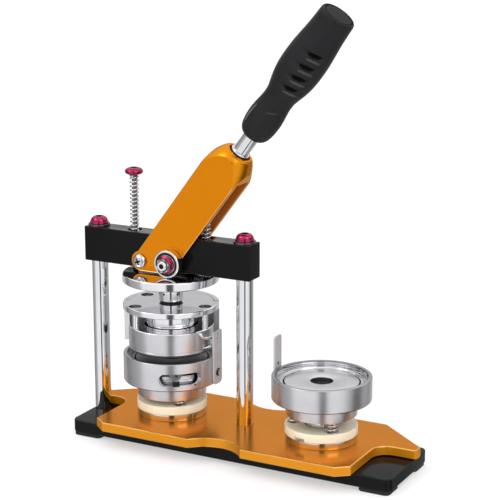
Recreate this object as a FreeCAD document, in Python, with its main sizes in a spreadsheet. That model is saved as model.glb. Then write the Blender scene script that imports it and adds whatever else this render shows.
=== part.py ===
import FreeCAD, Part
import math
import os
import Sketcher
from FreeCAD import Placement, Rotation, Vector

# Rotary button badge maker: a base with two columns and a beam, a plate that
# turns about the right column and carries two lower dies, a ram that a lever
# with two rollers presses down, and two return springs above the beam.
# Millimetres, +Z up, origin on the floor under the pivot column.
# X runs along the beam (the fixed column is at -X), Y to the back.

doc = FreeCAD.newDocument("badge_maker")
dims = doc.addObject("Spreadsheet::Sheet", "dims")
row = [0]


class Q:
    """A number together with the expression that drives it."""

    def __init__(self, v, s):
        self.v, self.s = float(v), s

    def _c(self, o):
        return o if isinstance(o, Q) else Q(o, repr(float(o)))

    def __add__(self, o):
        o = self._c(o)
        return Q(self.v + o.v, "(%s + %s)" % (self.s, o.s))

    __radd__ = __add__

    def __sub__(self, o):
        o = self._c(o)
        return Q(self.v - o.v, "(%s - %s)" % (self.s, o.s))

    def __rsub__(self, o):
        return self._c(o) - self

    def __mul__(self, o):
        o = self._c(o)
        return Q(self.v * o.v, "(%s * %s)" % (self.s, o.s))

    __rmul__ = __mul__

    def __neg__(self):
        return Q(-self.v, "(-1 * %s)" % self.s)


def q(x):
    return x if isinstance(x, Q) else Q(x, repr(float(x)))


def cell(alias, value):
    row[0] += 1
    dims.set("A%d" % row[0], alias)
    dims.set("B%d" % row[0], repr(float(value)))
    dims.setAlias("B%d" % row[0], alias)
    return Q(value, "dims." + alias)


# ---- driving dimensions -------------------------------------------------
foot_t = cell("foot_t", 3)
base_len = cell("base_len", 278)
base_wid = cell("base_wid", 74)
base_t = cell("base_t", 10)
base_rad = cell("base_rad", 6)
plate_gap = cell("plate_gap", 0.4)
plate_t = cell("plate_t", 7.6)
plate_half = cell("plate_half", 141.2)
plate_dep = cell("plate_dep", 50.9)
notch_x = cell("notch_x", 110.5)
notch_y = cell("notch_y", 8)
notch_rad = cell("notch_rad", 13)
waist_rad = cell("waist_rad", 28)
waist_y = cell("waist_y", 67.3)
col_span = cell("col_span", 132.4)
col_rad = cell("col_rad", 6.6)
beam_z = cell("beam_z", 139)
beam_h = cell("beam_h", 28)
beam_d = cell("beam_d", 17.6)
beam_over = cell("beam_over", 8.6)
washer_t = cell("washer_t", 1.6)
bolt_off = cell("bolt_off", 32.5)
bolt_rad = cell("bolt_rad", 2.1)
bolt_head_z = cell("bolt_head_z", 211.3)
disc_rad = cell("disc_rad", 38.1)
disc_top = cell("disc_top", 136.4)
disc_t = cell("disc_t", 7)
shaft_rad = cell("shaft_rad", 9.5)
flange_z = cell("flange_z", 107.6)
flange_t = cell("flange_t", 4.6)
flange_back = cell("flange_back", 33.4)
punch_rad = cell("punch_rad", 20.6)
punch_z = cell("punch_z", 86.8)
ring_rad = cell("ring_rad", 33.9)
ring_bore = cell("ring_bore", 21.4)
ring_z = cell("ring_z", 74.8)
ring_h = cell("ring_h", 19.7)
sleeve_z = cell("sleeve_z", 79)
post_rad = cell("post_rad", 12)
post_top = cell("post_top", 61.9)
disc_base_rad = cell("disc_base_rad", 28)
disc_base_t = cell("disc_base_t", 5.3)
cam_t = cell("cam_t", 6.9)
cup_rad = cell("cup_rad", 38.4)
cup_rim = cell("cup_rim", 71.4)
film_rad = cell("film_rad", 35)
ledge_d = cell("ledge_d", 4)
anvil_rad = cell("anvil_rad", 29)
anvil_top = cell("anvil_top", 66.9)
cup_l_z = cell("cup_l_z", 49.1)
cup_r_z = cell("cup_r_z", 52.9)
cupfl_rad = cell("cupfl_rad", 27.5)
cupfl_l_z = cell("cupfl_l_z", 37.7)
cupfl_r_z = cell("cupfl_r_z", 41.8)
strip_t = cell("strip_t", 1.6)
strip_w = cell("strip_w", 13)
lever_angle = cell("lever_angle", 52.85)
lever_x = cell("lever_x", -77.5515)
lever_z = cell("lever_z", 139.5636)
fork_w = cell("fork_w", 33)
fork_d = cell("fork_d", 28)
fork_slot = cell("fork_slot", 18.6)
fork_top = cell("fork_top", 121.5)
slot_end = cell("slot_end", 104)
pin_off = cell("pin_off", 10.2)
pin_rad = cell("pin_rad", 4)
axle_u = cell("axle_u", 18.534)
axle_off = cell("axle_off", 11.047)
axle_rad = cell("axle_rad", 4)
roller_rad = cell("roller_rad", 11)
roller_w = cell("roller_w", 7)
rod_rad = cell("rod_rad", 6.3)
grip_u = cell("grip_u", 139)
run_fit = cell("run_fit", 0.06)

base_top = foot_t + base_t
plate_z = base_top + plate_gap
plate_top = plate_z + plate_t
die_x = col_span * 0.5
beam_top = beam_z + beam_h
flange_top = flange_z + flange_t
doc.recompute()

nodes = []


def num(x):
    return q(x).v


def bind(obj, prop, val):
    val = q(val)
    obj.setExpression(prop, val.s)


def put(obj, x=0, y=0, z=0, rot=None):
    x, y, z = q(x), q(y), q(z)
    obj.Placement = Placement(Vector(x.v, y.v, z.v), rot or Rotation())
    for k, v in (("x", x), ("y", y), ("z", z)):
        obj.setExpression("Placement.Base." + k, v.s)


def node(obj, label):
    obj.Label = label
    nodes.append(obj)
    return obj


def plane(body, role):
    for f in body.Origin.OriginFeatures:
        if f.Role == role:
            return f


def outline(body, name, role, pts):
    """A closed outline of straight lines whose corners are held by cells."""
    sk = body.newObject("Sketcher::SketchObject", name)
    sk.AttachmentSupport = [(plane(body, role), "")]
    sk.MapMode = "FlatFace"
    pts = [(q(a), q(b)) for a, b in pts]
    n = len(pts)
    for i in range(n):
        a, b = pts[i], pts[(i + 1) % n]
        sk.addGeometry(Part.LineSegment(Vector(a[0].v, a[1].v, 0), Vector(b[0].v, b[1].v, 0)), False)
    for i in range(n):
        sk.addConstraint(Sketcher.Constraint("Coincident", i, 2, (i + 1) % n, 1))
    for i, (a, b) in enumerate(pts):
        for kind, axis, v in (("DistanceX", -2, a), ("DistanceY", -1, b)):
            if abs(v.v) < 1e-9:
                sk.addConstraint(Sketcher.Constraint("PointOnObject", i, 1, axis))
            else:
                k = sk.addConstraint(Sketcher.Constraint(kind, -1, 1, i, 1, v.v))
                sk.setExpression("Constraints[%d]" % k, v.s)
    return sk


def turned(label, pts, x=0, y=0, z=0, role="XZ_Plane", axis="V_Axis", rot=None, keep=True):
    """A lathe-turned piece: pairs of (radius, height) turned once round."""
    body = doc.addObject("PartDesign::Body", label)
    sk = outline(body, label + "_profile", role, pts)
    rev = body.newObject("PartDesign::Revolution", label + "_turn")
    rev.Profile = sk
    rev.ReferenceAxis = (sk, [axis])
    rev.Angle = 360
    put(body, x, y, z, rot)
    return node(body, label) if keep else body


def padded(label, pts, length, role="XY_Plane", x=0, y=0, z=0, keep=True):
    body = doc.addObject("PartDesign::Body", label)
    sk = outline(body, label + "_outline", role, pts)
    pad = body.newObject("PartDesign::Pad", label + "_pad")
    pad.Profile = sk
    pad.Length = num(length)
    bind(pad, "Length", length)
    put(body, x, y, z)
    return node(body, label) if keep else body


def box(name, x, y, z, dx, dy, dz, rot=None):
    b = doc.addObject("Part::Box", name)
    for p, v in (("Length", dx), ("Width", dy), ("Height", dz)):
        setattr(b, p, num(v))
        bind(b, p, v)
    put(b, x, y, z, rot)
    return b


ALONG = {"z": Rotation(), "y": Rotation(Vector(1, 0, 0), -90), "x": Rotation(Vector(0, 1, 0), 90)}


def cyl(name, x, y, z, r, h, along="z", angle=None, start=0.0):
    c = doc.addObject("Part::Cylinder", name)
    c.Radius, c.Height = num(r), num(h)
    bind(c, "Radius", r)
    bind(c, "Height", h)
    rot = along if isinstance(along, Rotation) else ALONG[along]
    if angle is not None:
        c.Angle = angle
        rot = Rotation(Vector(0, 0, 1), start)
    put(c, x, y, z, rot)
    return c


def join(name, objs):
    f = doc.addObject("Part::MultiFuse", name)
    f.Shapes = objs
    return f


def cut(label, base, tools, keep=True):
    c = doc.addObject("Part::Cut", label)
    c.Base = base
    c.Tool = tools[0] if len(tools) == 1 else join(label + "_holes", tools)
    return node(c, label) if keep else c


def polar(cx, r, deg):
    a = math.radians(deg)
    return q(cx) + q(r) * math.cos(a), q(r) * math.sin(a)


# ---- base ---------------------------------------------------------------
hl, hw = base_len * 0.5, base_wid * 0.5
slab = padded("base_slab", [(-hl, -hw), (hl, -hw), (hl, hw), (-hl, hw)], base_t, z=foot_t, keep=False)
doc.recompute()
pad = slab.Group[-1]
corner = slab.newObject("PartDesign::Fillet", "base_corners")
edges = []
for i, e in enumerate(pad.Shape.Edges):
    d = e.Vertexes[-1].Point - e.Vertexes[0].Point
    if abs(d.z) > 1 and abs(d.x) < 1e-6 and abs(d.y) < 1e-6:
        edges.append("Edge%d" % (i + 1))
corner.Base = (pad, edges)
corner.Radius = num(base_rad)
bind(corner, "Radius", base_rad)
cut("base_plate", slab, [
    cyl("base_hole_left", -col_span, 0, 0, 4, base_top),
    cyl("base_hole_right", 0, 0, 0, 4, base_top)])

for tag, sx, sy in (("fl", -1, -1), ("fr", 1, -1), ("bl", -1, 1), ("br", 1, 1)):
    fx = hl * sx - (1.0 if sx > 0 else -1.0) * 1.2 - (25.0 if sx > 0 else 0.0)
    fy = hw * sy - (1.0 if sy > 0 else -1.0) * 0.6 - (21.0 if sy > 0 else 0.0)
    pts = [(4, 0), (21, 0), (25, 4), (25, 17), (21, 21), (4, 21), (0, 17), (0, 4)]
    padded("rubber_foot_" + tag, pts, foot_t, x=fx, y=fy)

# ---- columns and beam ---------------------------------------------------
for tag, x in (("left", -col_span), ("right", q(0))):
    turned(tag + "_column", [
        (0, 4.5), (4, 4.5), (4, base_top), (col_rad, base_top),
        (col_rad, beam_z - 0.4), (col_rad - 0.4, beam_z), (4, beam_z), (4, 121), (0, 121)], x=x)
    w0, h0 = beam_top, beam_top + washer_t
    turned(tag + "_cap_washer", [
        (4.3, w0), (8.75, w0), (8.75, h0 - 0.3), (8.45, h0), (4.3, h0)], x=x)
    turned(tag + "_cap_screw", [
        (0, 121.6), (3.6, 121.6), (4, 122), (4, h0), (7.5, h0), (7.5, h0 + 1.3), (7.2, h0 + 2.6),
        (6.4, h0 + 4.2), (5.4, h0 + 5.2), (4.4, h0 + 5.7), (3.5, h0 + 5.8), (3.3, h0 + 5.5),
        (3.3, h0 + 2.2), (0, h0 + 2.2)], x=x)

beam_x = -col_span - beam_over
beam = box("beam_bar", beam_x, beam_d * -0.5, beam_z, col_span + beam_over * 2, beam_d, beam_h)
lev_c = math.cos(math.radians(lever_angle.v))
lev_s = math.sin(math.radians(lever_angle.v))
pin_x = lever_x - pin_off * lev_s
pin_z = lever_z + pin_off * lev_c
tools = [cyl("beam_hole_left", -col_span, 0, beam_z - 1, 4.2, beam_h + 2),
         cyl("beam_hole_right", 0, 0, beam_z - 1, 4.2, beam_h + 2),
         cyl("beam_pin_hole", pin_x, -20, pin_z, pin_rad, 40, "y")]
for tag, s in (("left", -1), ("right", 1)):
    bx = -die_x + bolt_off * s
    tools.append(cyl("beam_bolt_hole_" + tag, bx, 0, beam_z - 1, bolt_rad + 0.6, beam_h + 2))
    tools.append(cyl("beam_bolt_seat_" + tag, bx, 0, beam_top - 5, 5.6, 6))
cut("top_beam", beam, tools)

# lever pivot screw: pan head in front, plain head behind
hd = fork_d * 0.5 + 0.35
turned("pivot_pin", [
    (0, 0), (3.2, 0), (4.9, 0.9), (5.8, 2.3), (5.8, 3.6), (pin_rad, 3.6), (pin_rad, 3.6 + hd * 2),
    (5.8, 3.6 + hd * 2), (5.8, 6.4 + hd * 2), (5.2, 7 + hd * 2), (0, 7 + hd * 2)],
    x=pin_x, y=-hd - 3.6, z=pin_z, role="XY_Plane")

# ---- rotary plate -------------------------------------------------------
pd, ph, nx, ny = plate_dep, plate_half, notch_x, notch_y
half = [(nx - 10, -pd), (nx, -pd + 7.9), (nx, ny), (ph - 1.6, ny), (ph, ny + 2.5), (ph, ny + 8.5), (99, pd)]
pts = half + [(-q(a), b) for a, b in reversed(half)]
blank = padded("plate_blank", pts, plate_t, z=plate_z, keep=False)
doc.recompute()
pad = blank.Group[-1]
soft = blank.newObject("PartDesign::Fillet", "plate_notch_corners")
edges = []
for i, e in enumerate(pad.Shape.Edges):
    a, b = e.Vertexes[0].Point, e.Vertexes[-1].Point
    if abs(a.z - b.z) > 1 and abs(abs(a.x) - nx.v) < 1e-3 and abs(a.y - ny.v) < 1e-3:
        edges.append("Edge%d" % (i + 1))
soft.Base = (pad, edges)
soft.Radius = num(notch_rad)
bind(soft, "Radius", notch_rad)
cut("rotary_plate", blank, [
    cyl("plate_waist_front", 0, -waist_y, plate_z - 1, waist_rad, plate_t + 2),
    cyl("plate_waist_back", 0, waist_y, plate_z - 1, waist_rad, plate_t + 2),
    cyl("plate_bush_hole", 0, 0, plate_z - 1, 9, plate_t - 0.6),
    cyl("plate_column_hole", 0, 0, plate_z - 1, col_rad + 0.3, plate_t + 2)])
bi = col_rad + run_fit
turned("pivot_bush", [
    (bi, base_top + 0.3), (9, base_top + 0.3), (9, plate_top - 1.6), (bi, plate_top - 1.6)])


# ---- lower dies ---------------------------------------------------------
def coil(label, x, y, z0, z1, mean, wire, turns, ends=1.25):
    """A compression spring with closed ends, lying between two heights."""
    r = wire * 0.5
    length = z1 - z0 - wire
    helix = Part.makeHelix(length / turns, length, mean)
    ring = Part.Wire([Part.makeCircle(r, Vector(mean, 0, 0), Vector(0, 1, length / turns / (2 * math.pi * mean)))])
    shape = Part.Wire(helix).makePipeShell([ring], True, True)
    f = doc.addObject("Part::Feature", label)
    f.Shape = shape
    f.Placement = Placement(Vector(x, y, z0 + r), Rotation())
    return node(f, label)


cam_z = plate_top + disc_base_t
cam_top = cam_z + cam_t
for tag, x, side, cz, fz, az, sy in (("left", -die_x, 1, cup_l_z, cupfl_l_z, 56.0, 4.0),
                                     ("right", die_x, -1, cup_r_z, cupfl_r_z, 60.0, 3.0)):
    turned(tag + "_die_post", [
        (0, plate_top), (disc_base_rad - 0.4, plate_top), (disc_base_rad, plate_top + 0.4),
        (disc_base_rad, cam_z - 0.5), (disc_base_rad - 0.5, cam_z), (post_rad, cam_z),
        (post_rad, post_top), (6, post_top), (6, 40), (0, 40)], x=x)
    ring = turned(tag + "_cam_blank", [
        (post_rad + 0.5, cam_z), (disc_base_rad, cam_z), (disc_base_rad, cam_top - 0.6),
        (disc_base_rad - 0.6, cam_top), (post_rad + 0.5, cam_top)], x=x, keep=False)
    tools = []
    for i, a in enumerate((-42, 78, 198)):
        sx, syy = polar(x, 21, a)
        tools.append(cyl("%s_cam_pocket_%d" % (tag, i), sx, syy, cam_z + 1.7, 5.2, cam_t))
    step = cyl(tag + "_cam_step", x, 0, cam_z - 1, disc_base_rad + 2, 3.6, angle=20, start=110 if side > 0 else -112)
    core = cyl(tag + "_cam_core", x, 0, cam_z - 2, 23.5, 6)
    tools.append(cut(tag + "_cam_notch", step, [core], keep=False))
    cut(tag + "_cam_ring", ring, tools)
    for i, a in enumerate((-42, 78, 198)):
        sx, syy = polar(x, 21, a)
        coil("%s_die_spring_%d" % (tag, i + 1), sx.v, syy.v, (cam_z + 1.7).v, fz.v, 3.9, 1.3,
             3.5 if side > 0 else 4.5)
    turned(tag + "_anvil", [
        (post_rad, az), (anvil_rad - 0.3, az), (anvil_rad, az + 0.3), (anvil_rad, anvil_top - 0.5),
        (anvil_rad - 0.5, anvil_top), (9.2, anvil_top), (8.75, anvil_top - 0.45),
        (8.75, post_top), (post_rad, post_top)], x=x)
    pb = post_rad + run_fit
    turned(tag + "_cup_flange", [
        (pb, fz), (cupfl_rad - 0.5, fz), (cupfl_rad, fz + 0.5), (cupfl_rad, cz), (pb, cz)], x=x)
    lz = cup_rim - ledge_d
    cup = turned(tag + "_cup_blank", [
        (pb, cz), (cup_rad - 0.6, cz), (cup_rad, cz + 0.6), (cup_rad, cup_rim - 0.7),
        (cup_rad - 0.7, cup_rim), (film_rad + 0.5, cup_rim), (film_rad, cup_rim - 0.5),
        (film_rad, lz), (anvil_rad + 0.6, lz), (anvil_rad + 0.6, lz - 3.5), (34.2, lz - 3.5),
        (34.2, cz + 3.5), (pb, cz + 3.5)], x=x, keep=False)
    sz = q(58.5 if side > 0 else 61.0)
    tools = [cyl(tag + "_strip_screw_hole", x + (cup_rad - 6.0) * side - (0.0 if side > 0 else 10.0), sy, sz, 1.7, 10, "x")]
    if side > 0:
        # round-ended window through the cup wall
        tools.append(cyl("window_span", x, 0, 53.4, 41, 10.2, angle=36.8, start=-67.4))
        for k, a in enumerate((-67.4, -30.6)):
            tools.append(cyl("window_end_%d" % k, x, 0, 58.5, 5.1, 41,
                             Rotation(Vector(0, 0, 1), a).multiply(Rotation(Vector(0, 1, 0), 90))))
    cut(tag + "_cup", cup, tools)
    s0 = x + (cup_rad + 0.1) * side - (0.0 if side > 0 else 1.0) * strip_t
    bz, tz, sw = (48.9, 92.4, strip_w) if side > 0 else (52.5, 96.2, strip_w - 2)
    bar = box(tag + "_strip_bar", s0, sy - sw * 0.5, bz, strip_t, sw, tz - bz)
    eyes = (tz - 6.5, tz - 3.0) if side > 0 else (74.2,)
    cut(tag + "_strip", bar, [cyl(tag + "_strip_hole", s0 - 2, sy, sz, 1.7, 6, "x")] + [
        cyl("%s_strip_eye_%d" % (tag, k), s0 - 2, sy, e, 1.2, 6, "x") for k, e in enumerate(eyes)])
    # screw through the strip into the cup wall, head outside
    pts = [(0, 0), (1.7, 0), (1.7, 5 + strip_t), (3.2, 5 + strip_t), (3.0, 5.9 + strip_t), (2.0, 6.5 + strip_t), (0, 6.6 + strip_t)]
    turned(tag + "_strip_screw", pts, x=x + (cup_rad - 4.9) * side, y=sy, z=sz,
           rot=Rotation(Vector(0, 1, 0), 90 * side))

# ---- ram ----------------------------------------------------------------
dx = -die_x
db = disc_top - disc_t
pressure = turned("pressure_blank", [
    (0, db), (disc_rad - 0.8, db), (disc_rad, db + 0.8), (disc_rad, disc_top - 0.8),
    (disc_rad - 0.8, disc_top), (0, disc_top)], x=dx, keep=False)
cut("pressure_disc", pressure, [
    cyl("disc_thread_left", dx - bolt_off, 0, db - 1, bolt_rad, disc_t + 2),
    cyl("disc_thread_right", dx + bolt_off, 0, db - 1, bolt_rad, disc_t + 2)])
turned("ram_shaft", [
    (0, flange_top), (shaft_rad - 0.6, flange_top), (shaft_rad - 0.6, flange_top + 2.2),
    (shaft_rad, flange_top + 2.2), (shaft_rad, db), (0, db)], x=dx)
hang = ((-122, 31.5), (-2, 31.5), (164, 27.8))
flange = turned("flange_blank", [
    (0, flange_z), (disc_rad - 0.5, flange_z), (disc_rad, flange_z + 0.5), (disc_rad, flange_top - 0.5),
    (disc_rad - 0.5, flange_top), (0, flange_top)], x=dx, keep=False)
outer = cyl("flange_back_outer", dx, 0, flange_z - 1, 45, flange_t + 2, angle=174, start=28)
inner = cyl("flange_back_inner", dx, 0, flange_z - 2, flange_back, flange_t + 4)
tools = [cut("flange_back_cut", outer, [inner], keep=False)]
for i, (a, r) in enumerate(hang):
    hx, hy = polar(dx, r, a)
    tools.append(cyl("flange_bolt_hole_%d" % i, hx, hy, flange_z - 1, 2.6, flange_t + 2))
    tools.append(cyl("flange_bolt_seat_%d" % i, hx, hy, flange_top - 3.9, 5, 6))
cut("upper_flange", flange, tools)
turned("punch", [
    (0, punch_z), (19.4, punch_z), (20.2, punch_z + 0.8), (20.2, 96), (punch_rad, 96.4),
    (punch_rad, flange_z), (0, flange_z)], x=dx)
for tag, s in (("left", -1), ("right", 1)):
    bx = dx + bolt_off * s
    hz = bolt_head_z
    turned(tag + "_return_bolt", [
        (0, db + 0.5), (bolt_rad, db + 0.5), (bolt_rad, hz), (7.3, hz), (7.3, hz + 1.2), (6.6, hz + 2.6),
        (5.7, hz + 4.2), (4.6, hz + 5.3), (3.2, hz + 5.6), (3.0, hz + 5.3), (3.0, hz + 2), (0, hz + 2)], x=bx)
    coil(tag + "_return_spring", bx.v, 0, (beam_top - 5).v + 0.05, hz.v - 0.05, 2.95, 1.2, 12.5)

# ---- upper ring hung under the ram ----------------------------------------
rt = ring_z + ring_h
body = turned("ring_blank", [
    (ring_bore, ring_z), (32.2, ring_z), (ring_rad, ring_z + 2.4), (ring_rad, ring_z + 3.1),
    (ring_rad - 0.6, ring_z + 3.4), (ring_rad, ring_z + 3.7), (ring_rad, rt - 0.6),
    (ring_rad - 0.6, rt), (ring_bore, rt)], x=dx, keep=False)
tools = []
for i, (a, r) in enumerate(hang):
    tools.append(cyl("ring_thread_%d" % i, *polar(dx, r, a), 86.4, 2.3, 12))
clip_z, clip_r = 92.4, 35.15
cdir = Vector(math.cos(math.radians(-15)), math.sin(math.radians(-15)), 0)
tools.append(cyl("ring_clip_hole", dx + 30.5 * cdir.x, 30.5 * cdir.y, clip_z, 1.15, 8,
                 Rotation(Vector(0, 0, 1), -15).multiply(Rotation(Vector(0, 1, 0), 90))))
cut("upper_ring", body, tools)
for i, (a, r) in enumerate(hang):
    hx, hy = polar(dx, r, a)
    turned("ring_bolt_%d" % (i + 1), [
        (0, 86.4), (2.3, 86.4), (2.3, flange_top - 3.6), (4.6, flange_top - 3.6), (4.6, flange_top - 0.6),
        (4.2, flange_top - 0.2), (2.1, flange_top - 0.2), (2.1, flange_top - 2), (0, flange_top - 2)],
        x=hx, y=hy)
shell = cyl("sleeve_outer", dx, 0, sleeve_z, disc_rad, flange_top - sleeve_z, angle=170, start=30)
cut("guide_sleeve", shell, [cyl("sleeve_bore", dx, 0, sleeve_z - 1, ring_rad + 0.02, flange_top - sleeve_z + 2)])

# bent wire clip: out of the ring, then round its side and down
wr = 1.1
p0 = Vector(cdir.x * 30.6, cdir.y * 30.6, clip_z)
p1 = Vector(cdir.x * (clip_r - 1.3), cdir.y * (clip_r - 1.3), clip_z)


def on_ring(a, z, r=clip_r):
    return Vector(r * math.cos(math.radians(a)), r * math.sin(math.radians(a)), z)


p2 = on_ring(-12.4, clip_z - 1.0)
p3 = on_ring(-4.0, clip_z - 5.0)
p4 = on_ring(5.0, clip_z - 9.6)
curve = Part.BSplineCurve()
curve.interpolate([p1, p2, p3, p4], InitialTangent=cdir * 3, FinalTangent=(p4 - p3))
path = Part.Wire([Part.LineSegment(p0, p1).toShape(), curve.toShape()])
ringw = Part.Wire([Part.makeCircle(wr, p0, cdir)])
clip = doc.addObject("Part::Feature", "ring_wire_clip")
clip.Shape = path.makePipeShell([ringw], True, False)
clip.Placement = Placement(Vector(dx.v, 0, 0), Rotation())
node(clip, "ring_wire_clip")

# ---- lever: drawn lying along +X, then tilted about Y -----------------------
tilt = Rotation(Vector(0, 1, 0), -lever_angle.v)


def lean(obj):
    put(obj, lever_x, 0, lever_z, tilt)
    return obj


fw = fork_w * 0.5
# cheek outline: round about the pivot screw, sloped foot towards the rollers
arc = []
pr = Q(8.0, "8.0")
lug = math.degrees(math.asin((fw - pin_off).v / pr.v))
for a in (lug, 65, 82, 99, 116, 133, 150, 167, 184, 201, 270 - lever_angle.v):
    arc.append((pr * math.cos(math.radians(a)), pin_off + pr * math.sin(math.radians(a))))
foot_len = 22.6
fx0, fz0 = arc[-1]
ca, sa = math.cos(math.radians(-lever_angle.v)), math.sin(math.radians(-lever_angle.v))
side = [(fx0 + foot_len * ca, fz0 + foot_len * sa), (q(13.2), -fw + 3.2), (q(17.0), -fw)]
bar = doc.addObject("PartDesign::Body", "fork_blank")
pts = [(fork_top, fw)] + arc + side + [(fork_top, -fw)]
sk = outline(bar, "fork_outline", "XZ_Plane", pts)
pad = bar.newObject("PartDesign::Pad", "fork_pad")
pad.Profile = sk
pad.Length = num(fork_d)
bind(pad, "Length", fork_d)
put(bar, 0, fork_d * 0.5, 0)
nose = turned("fork_nose", [
    (fork_top + 1, 10.4), (fork_top, 10.4), (fork_top - 1.6, 12.6), (fork_top - 4.4, 14.9), (fork_top - 9.5, 17.4),
    (fork_top - 20, 21.4), (fork_top - 24, 22.6), (fork_top - 24, 30), (fork_top + 1, 30)],
    axis="H_Axis", keep=False)
hs = fork_slot * 0.5
ih = fork_d * 0.5
tools = [nose,
         box("fork_slot_box", -30, -hs, -30, slot_end + 30, fork_slot, 60),
         cyl("fork_pin_hole", 0, -20, pin_off, pin_rad + run_fit, 40, "y"),
         cyl("fork_axle_hole", axle_u, -20, -axle_off, axle_rad, 40, "y"),
         cyl("fork_axle_seat", axle_u, -11.4, -axle_off, 6.1, 22.8, "y"),
         cyl("fork_socket", slot_end + 2, 0, 0, rod_rad, 40, "x"),
         cyl("fork_mouth", fork_top - 2.6, 0, 0, 9.1, 10, "x")]
lean(cut("lever_fork", bar, tools))
rod = lean(turned("lever_rod", [
    (slot_end + 2, 0), (slot_end + 2, rod_rad - 0.5), (slot_end + 2.5, rod_rad), (200, rod_rad), (200, 0)], axis="H_Axis"))
lean(turned("rod_lock_nut", [
    (fork_top - 2.6, rod_rad), (fork_top - 2.6, 7.7), (fork_top - 0.8, 7.7), (fork_top - 0.4, 7.2), (fork_top - 0.1, 7.2),
    (fork_top + 0.3, 7.7), (fork_top + 1.4, 7.7), (fork_top + 1.8, 7.2), (fork_top + 1.8, rod_rad)], axis="H_Axis"))
g = grip_u
lean(turned("lever_grip", [
    (g, rod_rad), (g, 8.2), (g + 1.3, 9.9), (g + 4, 11.6), (g + 8, 12.7), (g + 13, 13.3), (g + 19, 13.4), (g + 25, 12.9),
    (g + 31, 12.1), (g + 36, 11.8), (g + 41, 12.2), (g + 46, 13.5), (g + 52, 15.0), (g + 59, 16.2), (g + 67, 16.7),
    (g + 77, 16.6), (g + 87, 15.9), (g + 97, 15.0), (g + 106, 14.5), (g + 112.4, 14.3), (g + 115, 13.9), (g + 116, 13.0),
    (g + 116, 0), (200, 0), (200, rod_rad)], axis="H_Axis"))

ax_x = lever_x + axle_u * lev_c + axle_off * lev_s
ax_z = lever_z + axle_u * lev_s - axle_off * lev_c
ro = ih + 0.4
for tag, s in (("front", -1), ("rear", 1)):
    flip = Rotation() if s > 0 else Rotation(Vector(0, 0, 1), 180)
    # stub axle, flat head sunk in the inside of the cheek
    turned(tag + "_axle", [
        (0, hs + 0.1), (6, hs + 0.1), (6, hs + 2.0), (axle_rad, hs + 2.0), (axle_rad, 28.0), (axle_rad - 0.6, 28.6), (0, 28.6)],
        x=ax_x, z=ax_z, role="XY_Plane", rot=flip)
    b, w = axle_rad + run_fit, roller_w
    turned(tag + "_roller", [
        (b, ro), (6.2, ro), (6.4, ro + 0.5), (8.8, ro + 0.5), (9.0, ro), (roller_rad - 0.5, ro), (roller_rad, ro + 0.5),
        (roller_rad, ro + w - 0.5), (roller_rad - 0.5, ro + w), (9.0, ro + w), (8.8, ro + w - 0.5), (6.4, ro + w - 0.5),
        (6.2, ro + w), (b, ro + w)], x=ax_x, z=ax_z, role="XY_Plane", rot=flip)
    n0 = ro + w + 0.35
    collar = turned(tag + "_nut_collar", [
        (0, n0), (7.2, n0), (7.2, n0 + 0.9), (5.6, n0 + 1.7), (0, n0 + 1.7)],
        x=ax_x, z=ax_z, role="XY_Plane", rot=flip, keep=False)
    hexa = doc.addObject("Part::Prism", tag + "_nut_hex")
    hexa.Polygon = 6
    hexa.Circumradius = 6.2
    hexa.Height = 5.2
    put(hexa, ax_x, n0 if s > 0 else -(n0 + 5.2), ax_z, ALONG["y"])
    cut(tag + "_axle_nut", join(tag + "_nut_solid", [collar, hexa]),
        [cyl(tag + "_nut_bore", ax_x, -40, ax_z, axle_rad, 80, "y")])

# ---- check and write ------------------------------------------------------
doc.recompute()
bad = []
for o in doc.Objects:
    if "Invalid" in o.State or "Error" in o.State:
        bad.append("%s %s" % (o.Name, o.State))
for o in nodes:
    s = o.Shape
    if s.isNull() or not s.isValid() or len(s.Solids) != 1 or s.Volume < 1:
        bad.append("%s shape null=%s solids=%d" % (o.Label, s.isNull(), 0 if s.isNull() else len(s.Solids)))
if bad:
    raise RuntimeError("; ".join(bad))
os.makedirs("parts", exist_ok=True)
lo, hi = [1e9] * 3, [-1e9] * 3
for o in nodes:
    b = o.Shape.BoundBox
    for k, (u, v) in enumerate(((b.XMin, b.XMax), (b.YMin, b.YMax), (b.ZMin, b.ZMax))):
        lo[k], hi[k] = min(lo[k], u), max(hi[k], v)
    o.Shape.exportStep("parts/%s.step" % o.Label)
print(len(nodes), "pieces", [round(v, 2) for v in lo], [round(v, 2) for v in hi])
print("pivot pin %.4f %.4f  axle %.4f %.4f" % (pin_x.v, pin_z.v, ax_x.v, ax_z.v))
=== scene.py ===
import bpy
import bmesh
import math
from math import cos, sin, pi, radians
from mathutils import Matrix, Vector
from mathutils.geometry import tessellate_polygon


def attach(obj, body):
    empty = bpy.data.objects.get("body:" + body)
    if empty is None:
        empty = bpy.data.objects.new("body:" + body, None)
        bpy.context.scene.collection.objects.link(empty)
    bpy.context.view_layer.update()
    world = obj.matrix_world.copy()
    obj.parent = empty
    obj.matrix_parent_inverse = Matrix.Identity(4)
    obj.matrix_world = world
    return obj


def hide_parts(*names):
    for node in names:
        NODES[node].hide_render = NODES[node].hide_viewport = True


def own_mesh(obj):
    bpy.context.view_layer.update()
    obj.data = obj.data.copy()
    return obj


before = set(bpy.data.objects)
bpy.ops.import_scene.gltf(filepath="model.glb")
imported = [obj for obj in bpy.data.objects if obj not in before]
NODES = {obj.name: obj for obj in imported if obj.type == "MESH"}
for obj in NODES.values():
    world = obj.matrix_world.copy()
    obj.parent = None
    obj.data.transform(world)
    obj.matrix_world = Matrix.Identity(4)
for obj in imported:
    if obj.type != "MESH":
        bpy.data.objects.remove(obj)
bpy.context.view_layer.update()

MM = 0.001
scene = bpy.context.scene

# ---------------------------------------------------------------- node helpers


def new_mat(name):
    m = bpy.data.materials.new(name)
    m.use_nodes = True
    nt = m.node_tree
    return m, nt, nt.nodes["Principled BSDF"]


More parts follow.
